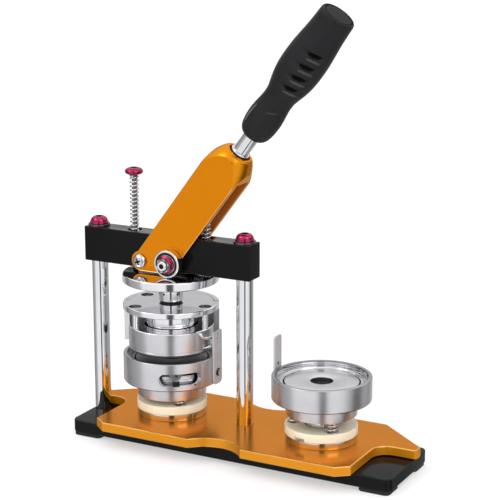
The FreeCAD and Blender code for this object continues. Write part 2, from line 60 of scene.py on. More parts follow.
def N(nt, kind, **props):
    n = nt.nodes.new(kind)
    for k, v in props.items():
        setattr(n, k, v)
    return n


def L(nt, a, b):
    nt.links.new(a, b)


def obj_coord(nt):
    return N(nt, "ShaderNodeTexCoord").outputs["Object"]


def noise(nt, vec, scale, detail=3.0, rough=0.5):
    n = N(nt, "ShaderNodeTexNoise")
    n.inputs["Scale"].default_value = scale
    n.inputs["Detail"].default_value = detail
    n.inputs["Roughness"].default_value = rough
    L(nt, vec, n.inputs["Vector"])
    return n.outputs["Fac"]


def remap(nt, fac, lo, hi, out_lo, out_hi):
    n = N(nt, "ShaderNodeMapRange")
    n.inputs["From Min"].default_value = lo
    n.inputs["From Max"].default_value = hi
    n.inputs["To Min"].default_value = out_lo
    n.inputs["To Max"].default_value = out_hi
    L(nt, fac, n.inputs["Value"])
    return n.outputs["Result"]


def ramp(nt, fac, stops):
    n = N(nt, "ShaderNodeValToRGB")
    while len(n.color_ramp.elements) < len(stops):
        n.color_ramp.elements.new(0.5)
    for e, (p, c) in zip(n.color_ramp.elements, stops):
        e.position = p
        e.color = (c[0], c[1], c[2], 1.0)
    L(nt, fac, n.inputs["Fac"])
    return n.outputs["Color"]


def blend_rgb(nt, fac, a, b):
    n = N(nt, "ShaderNodeMix", data_type="RGBA")
    L(nt, fac, n.inputs["Factor"])
    for sock, v in ((n.inputs[6], a), (n.inputs[7], b)):
        if isinstance(v, tuple):
            sock.default_value = (v[0], v[1], v[2], 1.0)
        else:
            L(nt, v, sock)
    return n.outputs[2]


def math_node(nt, op, a, b):
    n = N(nt, "ShaderNodeMath", operation=op)
    for i, v in enumerate((a, b)):
        if isinstance(v, (int, float)):
            n.inputs[i].default_value = v
        else:
            L(nt, v, n.inputs[i])
    return n.outputs[0]


def bumped(nt, bsdf, height, strength, distance):
    n = N(nt, "ShaderNodeBump")
    n.inputs["Strength"].default_value = strength
    n.inputs["Distance"].default_value = distance
    L(nt, height, n.inputs["Height"])
    L(nt, n.outputs["Normal"], bsdf.inputs["Normal"])
    return n


def stretched(nt, vec, sx, sy, sz):
    n = N(nt, "ShaderNodeMapping")
    n.inputs["Scale"].default_value = (sx, sy, sz)
    L(nt, vec, n.inputs["Vector"])
    return n.outputs["Vector"]


def worn_edges(nt, lo=0.515, hi=0.56):
    g = N(nt, "ShaderNodeNewGeometry")
    return remap(nt, g.outputs["Pointiness"], lo, hi, 0.0, 1.0)


def around(nt, vec, tight=1.0):
    """Radius and height about the piece's own Z axis, for lathe marks."""
    sep = N(nt, "ShaderNodeSeparateXYZ")
    L(nt, vec, sep.inputs[0])
    flat = N(nt, "ShaderNodeCombineXYZ")
    L(nt, sep.outputs[0], flat.inputs[0])
    L(nt, sep.outputs[1], flat.inputs[1])
    ln = N(nt, "ShaderNodeVectorMath", operation="LENGTH")
    L(nt, flat.outputs[0], ln.inputs[0])
    turn = N(nt, "ShaderNodeMath", operation="ARCTAN2")
    L(nt, sep.outputs[1], turn.inputs[0])
    L(nt, sep.outputs[0], turn.inputs[1])
    out = N(nt, "ShaderNodeCombineXYZ")
    L(nt, ln.outputs["Value"], out.inputs[0])
    L(nt, sep.outputs[2], out.inputs[1])
    L(nt, math_node(nt, "MULTIPLY", turn.outputs[0], 0.0004 * tight), out.inputs[2])
    return out.outputs[0]


# ---------------------------------------------------------------- materials
def metal(name, tint_lo, tint_hi, rough_lo, rough_hi, marks, mark_scale, bump=0.04, aniso=0.0, bare=1.0):
    """Bare metal. marks: 'turned' rings, 'drawn' lengthwise lines, 'fine' even grain."""
    m, nt, b = new_mat(name)
    co = obj_coord(nt)
    if marks == "turned":
        vec = around(nt, co)
    elif marks == "drawn":
        vec = stretched(nt, co, 1.0, 1.0, 0.02)
    elif marks == "along":
        tip = N(nt, "ShaderNodeMapping")
        tip.inputs["Rotation"].default_value = (0.0, radians(-37.15), 0.0)
        L(nt, co, tip.inputs["Vector"])
        vec = stretched(nt, tip.outputs["Vector"], 1.0, 1.0, 0.02)
    else:
        vec = co
    fine = noise(nt, vec, mark_scale, 4.0, 0.6)
    cloud = noise(nt, co, 60.0, 3.0, 0.55)
    L(nt, ramp(nt, cloud, [(0.3, tint_lo), (0.7, tint_hi)]), b.inputs["Base Color"])
    b.inputs["Metallic"].default_value = bare
    rough = math_node(nt, "ADD", remap(nt, fine, 0.3, 0.7, rough_lo, rough_hi),
                      remap(nt, cloud, 0.35, 0.75, 0.0, 0.03))
    L(nt, rough, b.inputs["Roughness"])
    bumped(nt, b, fine, bump, 0.0004)
    if aniso:
        b.inputs["Anisotropic"].default_value = aniso
        b.inputs["Anisotropic Rotation"].default_value = 0.25
        t = N(nt, "ShaderNodeTangent", direction_type="RADIAL", axis="Z")
        L(nt, t.outputs[0], b.inputs["Tangent"])
    return m


def anodised(name, lo, hi, rough_lo, rough_hi, bare=1.0):
    m, nt, b = new_mat(name)
    co = obj_coord(nt)
    grain = noise(nt, co, 5200.0, 2.0, 0.5)
    drawn = noise(nt, stretched(nt, co, 0.03, 1.0, 1.0), 1500.0, 3.0, 0.55)
    cloud = noise(nt, co, 22.0, 3.0, 0.5)
    L(nt, ramp(nt, cloud, [(0.3, lo), (0.72, hi)]), b.inputs["Base Color"])
    b.inputs["Metallic"].default_value = bare
    b.inputs["Specular Tint"].default_value = (1.0, 0.86, 0.68, 1.0)
    L(nt, math_node(nt, "ADD", remap(nt, drawn, 0.3, 0.7, rough_lo, rough_hi), remap(nt, cloud, 0.3, 0.7, 0.0, 0.03)),
      b.inputs["Roughness"])
    bumped(nt, b, math_node(nt, "ADD", grain, drawn), 0.04, 0.0003)
    return m


def black(name, lo, hi, edge, rough_lo, rough_hi, spec, grain_scale, bump, dist=0.0004, wear=0.6):
    m, nt, b = new_mat(name)
    co = obj_coord(nt)
    grain = noise(nt, co, grain_scale, 3.0, 0.55)
    cloud = noise(nt, co, 35.0, 4.0, 0.6)
    col = ramp(nt, cloud, [(0.3, lo), (0.7, hi)])
    if wear:
        col = blend_rgb(nt, math_node(nt, "MULTIPLY", worn_edges(nt), wear), col, edge)
    L(nt, col, b.inputs["Base Color"])
    b.inputs["Specular IOR Level"].default_value = spec
    L(nt, remap(nt, math_node(nt, "ADD", grain, math_node(nt, "MULTIPLY", cloud, 0.6)), 0.4, 1.2, rough_lo, rough_hi),
      b.inputs["Roughness"])
    bumped(nt, b, grain, bump, dist)
    return m


M = {}
M["orange"] = anodised("orange_anodised_metal", (0.715, 0.226, 0.005), (0.745, 0.24, 0.007), 0.15, 0.22)
# darker orange for the fork's slot walls and the rod's mouth: painted shade
M["orange_slot"] = anodised("orange_slot_painted_shade", (0.34, 0.10, 0.014), (0.4, 0.125, 0.02), 0.3, 0.4, 0.35)
# lighter yellow-orange on the fork's nose: a painted highlight
M["orange_nose"] = anodised("orange_nose_painted_highlight", (0.74, 0.262, 0.007), (0.79, 0.29, 0.012), 0.2, 0.28)
M["orange_edge"] = anodised("orange_edge_metal", (0.62, 0.228, 0.004), (0.67, 0.25, 0.006), 0.3, 0.38, 0.5)
# lighter orange on the rounded rims of plate and fork: a painted highlight
M["orange_rim"] = anodised("orange_rim_painted_highlight", (0.86, 0.42, 0.10), (0.92, 0.5, 0.16), 0.16, 0.24)
M["beam"] = black("beam_black_gloss", (0.0032, 0.0032, 0.0034), (0.0048, 0.0048, 0.005), (0.03, 0.03, 0.032),
                  0.14, 0.22, 0.10, 2600.0, 0.03, wear=0.0)
M["base"] = black("base_black_satin", (0.0034, 0.0034, 0.0037), (0.006, 0.006, 0.0064), (0.03, 0.03, 0.032),
                  0.12, 0.2, 0.09, 2200.0, 0.04, wear=0.0)
M["beam_top"] = black("beam_top_gloss", (0.0032, 0.0032, 0.0034), (0.0048, 0.0048, 0.005), (0.03, 0.03, 0.032),
                      0.14, 0.22, 1.0, 2600.0, 0.03, wear=0.0)
# lighter black on the rounded rims of base and beam: a painted highlight
M["black_rim"] = black("black_rim_painted_highlight", (0.006, 0.006, 0.0063), (0.011, 0.011, 0.0115), (0.03, 0.03, 0.032),
                       0.2, 0.3, 0.16, 2400.0, 0.05, wear=0.0)
M["rubber"] = black("foot_rubber_matte", (0.006, 0.006, 0.006), (0.012, 0.012, 0.012), (0.03, 0.03, 0.03),
                    0.62, 0.8, 0.2, 1800.0, 0.25)
M["grip"] = black("grip_soft_black", (0.0094, 0.0094, 0.0104), (0.0126, 0.0126, 0.0139), (0.025, 0.025, 0.027),
                  0.42, 0.52, 0.17, 2400.0, 0.22)
# lighter black on the grooves' raised lower lips and along the bulb's crease: a painted highlight
M["grip_lip"] = black("grip_lip_painted_highlight", (0.024, 0.024, 0.025), (0.034, 0.034, 0.035), (0.05, 0.05, 0.05),
                      0.26, 0.36, 0.4, 2400.0, 0.12, wear=0.0)
# light grey on the raised parting line: a painted highlight
M["grip_seam"] = black("grip_parting_line_painted_highlight", (0.09, 0.09, 0.092), (0.14, 0.14, 0.143), (0.1, 0.1, 0.1),
                       0.26, 0.36, 0.4, 2400.0, 0.1, wear=0.0)
M["grip_end"] = black("grip_end_black", (0.0062, 0.0062, 0.0068), (0.0086, 0.0086, 0.0094), (0.02, 0.02, 0.021),
                      0.46, 0.56, 0.12, 2400.0, 0.2)
# near-black in the groove wells and the end face's sunk line: painted shade
M["grip_deep"] = black("grip_groove_painted_shade", (0.0012, 0.0012, 0.0013), (0.0024, 0.0024, 0.0026), (0.01, 0.01, 0.01),
                       0.55, 0.7, 0.06, 2400.0, 0.15, wear=0.0)
M["chrome"] = metal("chrome_bar_metal", (0.74, 0.75, 0.77), (0.8, 0.81, 0.82), 0.03, 0.06, "drawn", 1600.0, 0.02)
M["rod"] = metal("rod_chrome_metal", (0.70, 0.72, 0.74), (0.78, 0.79, 0.8), 0.06, 0.11, "along", 1500.0, 0.03)
M["screw"] = metal("screw_chrome_metal", (0.58, 0.59, 0.61), (0.66, 0.66, 0.68), 0.06, 0.1, "turned", 2200.0, 0.03)
M["polished"] = metal("polished_steel_metal", (0.76, 0.76, 0.79), (0.84, 0.84, 0.86), 0.07, 0.12, "turned", 2600.0, 0.02)
M["mirror"] = metal("mirror_steel_metal", (0.7, 0.7, 0.72), (0.78, 0.78, 0.8), 0.025, 0.05, "turned", 2200.0, 0.01)
M["turned"] = metal("turned_steel_metal", (0.62, 0.62, 0.645), (0.7, 0.7, 0.72), 0.28, 0.36, "turned", 3200.0, 0.04, 0.7)
M["satin"] = metal("satin_steel_metal", (0.74, 0.74, 0.76), (0.82, 0.82, 0.83), 0.34, 0.46, "turned", 2600.0, 0.06)
M["zinc"] = metal("zinc_coated_metal", (0.58, 0.575, 0.58), (0.65, 0.645, 0.65), 0.3, 0.42, "turned", 2600.0, 0.06, 0.0, 0.2)
M["strip"] = metal("strip_steel_metal", (0.43, 0.415, 0.415), (0.5, 0.485, 0.485), 0.3, 0.42, "fine", 2600.0, 0.06, 0.0, 0.25)
# dark steel: some dark parts, and painted shade in the cups, the flange's bolt seats and on the nut hexagons' bevels
M["gunmetal"] = metal("gunmetal_part", (0.16, 0.16, 0.17), (0.24, 0.24, 0.25), 0.3, 0.42, "fine", 2400.0, 0.06)
M["face"] = metal("faced_steel_metal", (0.7, 0.7, 0.72), (0.77, 0.77, 0.78), 0.16, 0.22, "turned", 3000.0, 0.03, 0.4)
# darker steel on the cups' rim tops: painted shade
M["rim"] = metal("rim_steel_painted_shade", (0.4, 0.4, 0.415), (0.47, 0.47, 0.48), 0.16, 0.24, "turned", 3000.0, 0.03)
M["spring"] = metal("spring_wire_metal", (0.62, 0.62, 0.62), (0.72, 0.72, 0.71), 0.12, 0.2, "fine", 2500.0, 0.05)
M["dark_steel"] = metal("dark_washer_metal", (0.1, 0.095, 0.105), (0.16, 0.15, 0.16), 0.2, 0.32, "turned", 2500.0, 0.04)
M["bearing"] = metal("bearing_steel_metal", (0.72, 0.72, 0.73), (0.82, 0.82, 0.83), 0.08, 0.14, "fine", 2600.0, 0.02)
M["pink"] = metal("pink_plated_metal", (0.36, 0.03, 0.082), (0.46, 0.045, 0.12), 0.08, 0.14, "fine", 1800.0, 0.04)
M["brass"] = metal("bush_brass_metal", (0.5, 0.34, 0.13), (0.62, 0.44, 0.18), 0.2, 0.3, "turned", 2600.0, 0.05)

# black for the roller bearings' seals, and painted shade in recesses and gaps
m, nt, b = new_mat("seal_black_shield")
co = obj_coord(nt)
L(nt, ramp(nt, noise(nt, co, 400.0), [(0.3, (0.006, 0.006, 0.007)), (0.7, (0.014, 0.013, 0.014))]), b.inputs["Base Color"])
L(nt, remap(nt, noise(nt, co, 1500.0), 0.3, 0.7, 0.35, 0.5), b.inputs["Roughness"])
b.inputs["Specular IOR Level"].default_value = 0.3
M["shield"] = m

m, nt, b = new_mat("ivory_moulded_nylon")
co = obj_coord(nt)
cloud = noise(nt, co, 90.0, 4.0, 0.6)
fine = noise(nt, co, 1500.0, 3.0, 0.5)
col = ramp(nt, cloud, [(0.3, (0.74, 0.67, 0.49)), (0.7, (0.81, 0.745, 0.575))])
col = blend_rgb(nt, math_node(nt, "MULTIPLY", worn_edges(nt), 0.4), col, (0.95, 0.91, 0.8))
L(nt, col, b.inputs["Base Color"])
b.inputs["Subsurface Weight"].default_value = 0.25
b.inputs["Subsurface Radius"].default_value = (0.003, 0.0022, 0.0012)
b.inputs["Subsurface Scale"].default_value = 1.0
b.inputs["Specular IOR Level"].default_value = 0.4
L(nt, remap(nt, fine, 0.3, 0.7, 0.34, 0.48), b.inputs["Roughness"])
bumped(nt, b, math_node(nt, "ADD", fine, cloud), 0.06, 0.0004)
M["ivory"] = m

# ---------------------------------------------------------------- mesh helpers
LEVER = Matrix.Translation(Vector((-77.5515, 0, 139.5636))) @ Matrix.Rotation(radians(-52.85), 4, "Y")


def shade(me, angle):
    for p in me.polygons:
        p.use_smooth = True
    me.set_sharp_from_angle(angle=radians(angle))


def piece(name, verts, faces, mat, angle=15.0, place=None, slots=None):
    """A new object from millimetre points; place is a millimetre matrix for its own frame."""
    me = bpy.data.meshes.new(name)
    if place is not None and any(0.01 < abs(place[i][j]) < 0.99 for i in range(3) for j in range(3)):
        # a slanting piece is drawn where it stands
        verts = [tuple(place @ Vector(v)) for v in verts]
        place = None
    me.from_pydata([(x * MM, y * MM, z * MM) for x, y, z in verts], [], faces)
    for mm in (mat if isinstance(mat, (list, tuple)) else [mat]):
        me.materials.append(mm)
    if slots:
        for poly, k in zip(me.polygons, slots):
            poly.material_index = k
    bm = bmesh.new()
    bm.from_mesh(me)
    bmesh.ops.remove_doubles(bm, verts=bm.verts, dist=1e-7)
    bmesh.ops.recalc_face_normals(bm, faces=bm.faces)
    bm.to_mesh(me)
    bm.free()
    me.validate()
    shade(me, angle)
    o = bpy.data.objects.new(name, me)
    scene.collection.objects.link(o)
    if place is not None:
        p = place.copy()
        p.translation = p.translation * MM
        o.matrix_world = p
    return o


def done(o, body, slot, *nodes):
    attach(o, body)
    if nodes:
        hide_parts(*nodes)
    return o


def soften(pts, r, segs=3, closed=True, limit=18.0):
    """Rounds the sharp corners of a polyline."""
    out, n = [], len(pts)
    for i in range(n):
        p = Vector(pts[i])
        if not closed and i in (0, n - 1):
            out.append(tuple(p))
            continue
        a, b2 = Vector(pts[i - 1]), Vector(pts[(i + 1) % n])
        d0, d1 = a - p, b2 - p
        if d0.length < 1e-6 or d1.length < 1e-6:
            continue
        turn = math.degrees(pi - d0.angle(d1))
        rr = min(r, d0.length * 0.42, d1.length * 0.42)
        if turn < limit or rr < 1e-3 or abs(p[0]) < 1e-6:
            out.append(tuple(p))
            continue
        q0, q1 = p + d0.normalized() * rr, p + d1.normalized() * rr
        for k in range(segs + 1):
            t = k / segs
            out.append(tuple(q0 * (1 - t) ** 2 + p * 2 * t * (1 - t) + q1 * t * t))
    return out


def turn_mesh(profile, segs=144, a0=0.0, a1=360.0):
    """Verts and faces of a closed (radius, height) profile turned about Z."""
    full = abs(a1 - a0) > 359.9
    cols = segs if full else segs + 1
    verts, first = [], []
    for r, z in profile:
        if r < 1e-6 and full:
            first.append((len(verts), True))
            verts.append((0, 0, z))
        else:
            first.append((len(verts), False))
            for k in range(cols):
                a = radians(a0 + (a1 - a0) * k / segs)
                verts.append((r * cos(a), r * sin(a), z))
    faces, n = [], len(profile)
    for i in range(n):
        (p, pa), (q2, qa) = first[i], first[(i + 1) % n]
        if pa and qa:
            continue
        for k in range(segs):
            k2 = (k + 1) % cols
            if pa:
                faces.append((p, q2 + k, q2 + k2))
            elif qa:
                faces.append((p + k, q2, p + k2))
            else:
                faces.append((p + k, q2 + k, q2 + k2, p + k2))
    if not full:
        faces.append(tuple(first[i][0] for i in range(n)))
        faces.append(tuple(first[i][0] + segs for i in reversed(range(n))))
    return verts, faces


def lathe(name, profile, mat, at=(0, 0, 0), bevel=0.25, segs=144, a0=0.0, a1=360.0, angle=15.0, place=None, bsegs=3):
    pr = soften(profile, bevel, bsegs) if bevel else profile
    v, f = turn_mesh(pr, segs, a0, a1)
    return piece(name, v, f, mat, angle, place or Matrix.Translation(Vector(at)))


def inset(poly, d):
    """Moves a counter-clockwise outline inwards by d."""
    n, out = len(poly), []
    for i in range(n):
        a, p, c = Vector(poly[i - 1]), Vector(poly[i]), Vector(poly[(i + 1) % n])
        e0, e1 = (p - a).normalized(), (c - p).normalized()
        n0, n1 = Vector((-e0.y, e0.x)), Vector((-e1.y, e1.x))
        h = n0 + n1
        k = h.length_squared
        out.append(tuple(p + h * (2 * d / max(k, 0.5))))
    return out


def prism(name, outline, z0, z1, mat, bevel=0.5, steps=2, holes=(), place=None, angle=15.0, hole_bevel=0.25):
    """An outline with holes raised from z0 to z1, its rims rounded over."""
    def levels(bv):
        lv = []
        for k in range(steps + 1):
            t = (pi / 2) * k / steps
            lv.append((bv * (1 - sin(t)), z0 + bv * (1 - cos(t))))
        return lv + [(d, z1 + z0 - z) for d, z in reversed(lv)]

    verts, faces, rims, slots = [], [], [], []
    for ring, bv, sign in [(outline, bevel, 1)] + [(h, hole_bevel, -1) for h in holes]:
        rows = []
        for d, z in levels(bv):
            pts = inset(ring, d * sign) if d > 1e-9 else ring
            rows.append(len(verts))
            verts += [(x, y, z) for x, y in pts]
        n = len(ring)
        for i, (r0, r1) in enumerate(zip(rows, rows[1:])):
            for k in range(n):
                faces.append((r0 + k, r0 + (k + 1) % n, r1 + (k + 1) % n, r1 + k))
            # the rounded rims take the second material: a painted highlight on plate, fork, base and beam, painted
            # shade on the nut hexagons
            slots += [0 if i == steps or not isinstance(mat, (list, tuple)) or len(mat) < 2 else 1] * n
        rims.append((rows[0], rows[-1], n))
    for which in (0, 1):
        idx, loops = [], []
        for rm in rims:
            ids = list(range(rm[which], rm[which] + rm[2]))
            idx += ids
            loops.append([Vector(verts[i]) for i in ids])
        if len(loops) == 1:
            faces.append(tuple(idx))
        else:
            for t in tessellate_polygon(loops):
                faces.append(tuple(idx[i] for i in t))
    slots += [0] * (len(faces) - len(slots))
    return piece(name, verts, faces, mat, angle, place, slots)


def circle(cx, cy, r, n=48):
    return [(cx + r * cos(2 * pi * k / n), cy + r * sin(2 * pi * k / n)) for k in range(n)]


def arc(cx, cy, r, a0, a1, n):
    return [(cx + r * cos(radians(a0 + (a1 - a0) * k / n)), cy + r * sin(radians(a0 + (a1 - a0) * k / n))) for k in range(n + 1)]


def heal(me):
    """Closes the slivers that a cut can leave."""
    bm = bmesh.new()
    bm.from_mesh(me)
    if any(len(e.link_faces) == 1 for e in bm.edges):
        bmesh.ops.remove_doubles(bm, verts=bm.verts, dist=2e-6)
        bmesh.ops.dissolve_degenerate(bm, dist=1e-6, edges=bm.edges)
        bmesh.ops.holes_fill(bm, edges=[e for e in bm.edges if len(e.link_faces) == 1], sides=8)
        bm.to_mesh(me)
    bm.free()


def carve(o, cutters, op="DIFFERENCE", angle=15.0):
    bpy.context.view_layer.update()
    for c in cutters:
        md = o.modifiers.new("carve", "BOOLEAN")
        md.operation, md.solver, md.object = op, "EXACT", c
        md.material_mode = "TRANSFER"
    dg = bpy.context.evaluated_depsgraph_get()
    me = bpy.data.meshes.new_from_object(o.evaluated_get(dg))
    o.modifiers.clear()
    old = o.data
    o.data = me
    bpy.data.meshes.remove(old)
    for c in cutters:
        d = c.data
        bpy.data.objects.remove(c)
        bpy.data.meshes.remove(d)
    heal(me)
    shade(me, angle)
    return o


def tube(name, path, r, mat, sides=14, place=None, round_ends=True):
    """A wire along points, kept from twisting."""
    pts = [Vector(p) for p in path]
    tang = []
    for i in range(len(pts)):
        a, c = pts[max(i - 1, 0)], pts[min(i + 1, len(pts) - 1)]
        tang.append((c - a).normalized())
    side = tang[0].orthogonal().normalized()
    rings = []
    for p, t in zip(pts, tang):
        side = (side - t * side.dot(t)).normalized()
        up = t.cross(side)
        rings.append((p, side.copy(), up, r))
    if round_ends:
        cap = []
        for k in (1, 2, 3):
            u = k / 3.0
            cap.append((u * r * 0.8, r * math.sqrt(max(0.0, 1 - (u * 0.93) ** 2))))
        p, s, u2, _ = rings[0]
        rings = [(p - tang[0] * d, s, u2, q2) for d, q2 in reversed(cap)] + rings
        p, s, u2, _ = rings[-1]
        rings = rings + [(p + tang[-1] * d, s, u2, q2) for d, q2 in cap]
    verts, faces = [], []
    for p, s, u2, q2 in rings:
        for k in range(sides):
            a = 2 * pi * k / sides
            verts.append(tuple(p + s * (q2 * cos(a)) + u2 * (q2 * sin(a))))
    for i in range(len(rings) - 1):
        for k in range(sides):
            k2 = (k + 1) % sides
            faces.append((i * sides + k, i * sides + k2, (i + 1) * sides + k2, (i + 1) * sides + k))
    faces.append(tuple(reversed(range(sides))))
    faces.append(tuple((len(rings) - 1) * sides + k for k in range(sides)))
    return piece(name, verts, faces, mat, 40.0, place)


def spring(name, x, y, z0, z1, mean, wire, turns, mat, start=0.0, per=30):
    """Compression spring with closed end turns."""
    r = wire / 2
    lo, hi = z0 + r, z1 - r
    dead = 0.9
    live = hi - lo - 2 * dead * wire * 0.9
    total = turns + 2 * dead
    n = int(total * per)
    path = []
    for k in range(n + 1):
        t = total * k / n
        if t < dead:
            z = lo + wire * 0.9 * t
        elif t > total - dead:
            z = hi - wire * 0.9 * (total - t)
        else:
            z = lo + wire * 0.9 * dead + live * (t - dead) / turns
        a = 2 * pi * t + start
        path.append((mean * cos(a), mean * sin(a), z))
    return tube(name, path, r, mat, 12, Matrix.Translation(Vector((x, y, 0))), round_ends=False)


def hex_loop(r, turn=0.0):
    return [(r * cos(radians(60 * k + turn)), r * sin(radians(60 * k + turn))) for k in range(6)]


def hex_cutter(name, r, z0, z1, mat, at, turn=0.0):
    pts = hex_loop(r, turn)
    verts = [(x, y, z0) for x, y in pts] + [(x, y, z1) for x, y in pts] + [(0, 0, z0 - r * 0.25)]
    faces = [(k, (k + 1) % 6, 6 + (k + 1) % 6, 6 + k) for k in range(6)]
    faces += [tuple(6 + k for k in range(6))] + [((k + 1) % 6, k, 12) for k in range(6)]
    return piece(name, verts, faces, mat, 15.0, Matrix.Translation(Vector(at)))


def rod_cutter(name, r, z0, z1, mat, at=(0, 0, 0), place=None, segs=48):
    v, f = turn_mesh([(0, z0), (r, z0), (r, z1), (0, z1)], segs)
    return piece(name, v, f, mat, 15.0, place or Matrix.Translation(Vector(at)))


# ---------------------------------------------------------------- base and feet
base_outline = (arc(139 - 6, -37 + 6, 6, -90, 0, 10) + arc(139 - 6, 37 - 6, 6, 0, 90, 10)
                + arc(-139 + 6, 37 - 6, 6, 90, 180, 10) + arc(-139 + 6, -37 + 6, 6, 180, 270, 10))
# its rounded rims get the lighter black as a painted highlight
o = prism("base_plate_satin", base_outline, 3, 13, [M["base"], M["black_rim"]], bevel=0.9, steps=3)
done(o, "frame", "base_black", "base_plate")

for tag, sx, sy in (("fl", -1, -1), ("fr", 1, -1), ("bl", -1, 1), ("br", 1, 1)):
    cx, cy = sx * (139 - 1.2 - 12.5), sy * (37 - 0.6 - 10.5)
    ol = []
    for (dx, dy, a) in ((1, -1, -90), (1, 1, 0), (-1, 1, 90), (-1, -1, 180)):
        ol += arc(cx + dx * (12.5 - 4), cy + dy * (10.5 - 4), 4, a, a + 90, 6)
    o = prism("foot_pad_" + tag, ol, 0, 3, M["rubber"], bevel=0.6, steps=3)
    done(o, "frame", "foot_rubber", "rubber_foot_" + tag)

# ---------------------------------------------------------------- columns, beam, caps
for tag, x in (("left", -132.4), ("right", 0.0)):
    o = lathe("column_" + tag, [(0, 4.5), (4, 4.5), (4, 13), (6.6, 13), (6.6, 138.9), (4, 138.9), (4, 121), (0, 121)],
              M["chrome"], (x, 0, 0), bevel=0.35)
    done(o, "frame", "chrome_bar", tag + "_column")
    o = lathe("cap_washer_" + tag, [(4.3, 167), (8.75, 167), (8.75, 168.6), (4.3, 168.6)], M["dark_steel"], (x, 0, 0), bevel=0.3)
    done(o, "frame", "washer_steel", tag + "_cap_washer")
    h0 = 168.6
    prof = [(0, 121.6), (3.6, 121.6), (4, 122), (4, h0), (7.4, h0), (7.5, h0 + 0.3), (7.5, h0 + 1.2), (7.35, h0 + 1.6), (6.95, h0 + 1.8),
            (6.85, h0 + 2.4), (6.6, h0 + 3.3), (6.1, h0 + 4.2), (5.4, h0 + 4.95), (4.6, h0 + 5.45), (3.9, h0 + 5.7), (3.5, h0 + 5.75), (0, h0 + 5.75)]
    o = lathe("cap_screw_" + tag, prof, M["pink"], (x, 0, 0), bevel=0.0, angle=33.0)
    o = carve(o, [hex_cutter("cap_socket", 3.3, h0 + 2.6, h0 + 8, M["pink"], (x, 0, 0), 12.0)], angle=33.0)
    done(o, "frame", "pink_plated", tag + "_cap_screw")

beam_outline = [(-141, -8.8), (8.6, -8.8), (8.6, 8.8), (-141, 8.8)]
seats = [circle(-98.7, 0, 5.6), circle(-33.7, 0, 5.6)]
# its rounded rims get the lighter black as a painted highlight
o = prism("top_beam_bar", soften(beam_outline, 0.7, 3), 139, 167, [M["beam"], M["black_rim"], M["beam_top"]], bevel=0.7, steps=3, holes=seats, hole_bevel=0.4)
for p in o.data.polygons:
    if p.normal.z > 0.99:
        p.material_index = 2
done(o, "frame", "beam_black", "top_beam")
for tag, x in (("left", -98.7), ("right", -33.7)):
    o = lathe("beam_seat_" + tag, [(2.7, 139.2), (5.58, 139.2), (5.58, 162), (2.7, 162)], M["beam"], (x, 0, 0), bevel=0.3, segs=64)
    done(o, "frame", "beam_black")

# return bolts and springs
for tag, x in (("left", -98.7), ("right", -33.7)):
    hz = 211.3
    prof = [(0, 129.9), (2.1, 129.9), (2.1, 137.6), (1.9, 138.0), (1.9, hz), (4.4, hz), (5.6, hz + 0.35), (6.6, hz + 1.0), (7.1, hz + 1.8), (7.25, hz + 2.6),
            (7.1, hz + 3.3), (6.6, hz + 4.0), (5.8, hz + 4.7), (4.8, hz + 5.2), (3.9, hz + 5.45), (3.3, hz + 5.5), (0, hz + 5.5)]
    o = lathe("return_bolt_" + tag, prof, [M["pink"], M["gunmetal"]], (x, 0, 0), bevel=0.0, angle=33.0, segs=96)
    o = carve(o, [hex_cutter("bolt_socket", 3.0, hz + 2.6, hz + 8, M["pink"], (x, 0, 0), 25.0)], angle=33.0)
    for p in o.data.polygons:
        if p.center.z < (hz - 0.01) * MM:
            p.material_index = 1
    done(o, "ram", "return_bolt", tag + "_return_bolt")
    o = spring("return_spring_" + tag, x, 0, 162.05, 211.25, 2.95, 1.6, 14.2, M["spring"], start=-1.2)
    done(o, "frame", "spring_steel", tag + "_return_spring")
    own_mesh(o)

# pivot screw with a cross recess
hd = 14.35
facing = Matrix.Translation(Vector((-85.6815, 0, 145.7234))) @ Matrix.Rotation(radians(90), 4, "X")
# own Z points to the front (-Y)
prof = [(0, hd + 3.6), (1.6, hd + 3.55), (3.0, hd + 3.3), (4.2, hd + 2.75), (5.1, hd + 1.95), (5.6, hd + 1.1), (5.8, hd + 0.35), (5.75, hd + 0.0),
        (4.0, hd), (4.0, -hd), (5.8, -hd), (5.8, -hd - 2.8), (5.2, -hd - 3.4), (0, -hd - 3.4)]
o = lathe("pivot_screw", prof, M["screw"], bevel=0.0, angle=28.0, place=facing, segs=96)
# the cross recess's walls take the black cutter material: painted shade
cuts = []
for turn in (20.0, 110.0):
    pl = facing @ Matrix.Rotation(radians(turn), 4, "Z")
    w, ln, zt, zb = 0.85, 3.5, hd + 5, hd + 1.5
    v = [(-ln, -w, zt), (ln, -w, zt), (ln, w, zt), (-ln, w, zt), (-ln * 0.45, -w * 0.6, zb), (ln * 0.45, -w * 0.6, zb), (ln * 0.45, w * 0.6, zb), (-ln * 0.45, w * 0.6, zb)]
    fcs = [(0, 1, 2, 3), (7, 6, 5, 4), (0, 4, 5, 1), (1, 5, 6, 2), (2, 6, 7, 3), (3, 7, 4, 0)]
    cuts.append(piece("cross_cut", v, fcs, M["shield"], place=pl))
o = carve(o, cuts, angle=28.0)
done(o, "frame", "polished_steel", "pivot_pin")

# ---------------------------------------------------------------- rotary plate
nx, ny, pd, ph, nr = 110.5, 8.0, 50.9, 141.2, 13.0
wr, wy = 28.0, 67.3
half_w = math.degrees(math.asin(math.sqrt(wr * wr - (wy - pd) ** 2) / wr))
right = ([(nx - 10, -pd), (nx, -pd + 7.9)] + list(reversed(arc(nx + nr, ny - nr, nr, 90, 180, 14)))
         + [(ph - 1.6, ny), (ph, ny + 2.5), (ph, ny + 8.5), (99, pd)])
left = [(-a, c) for a, c in reversed(right)]
front_waist = arc(0, -wy, wr, 90 + half_w, 90 - half_w, 40)
back_waist = arc(0, wy, wr, -90 + half_w, -90 - half_w, 40)
plate_outline = front_waist + right + back_waist + left
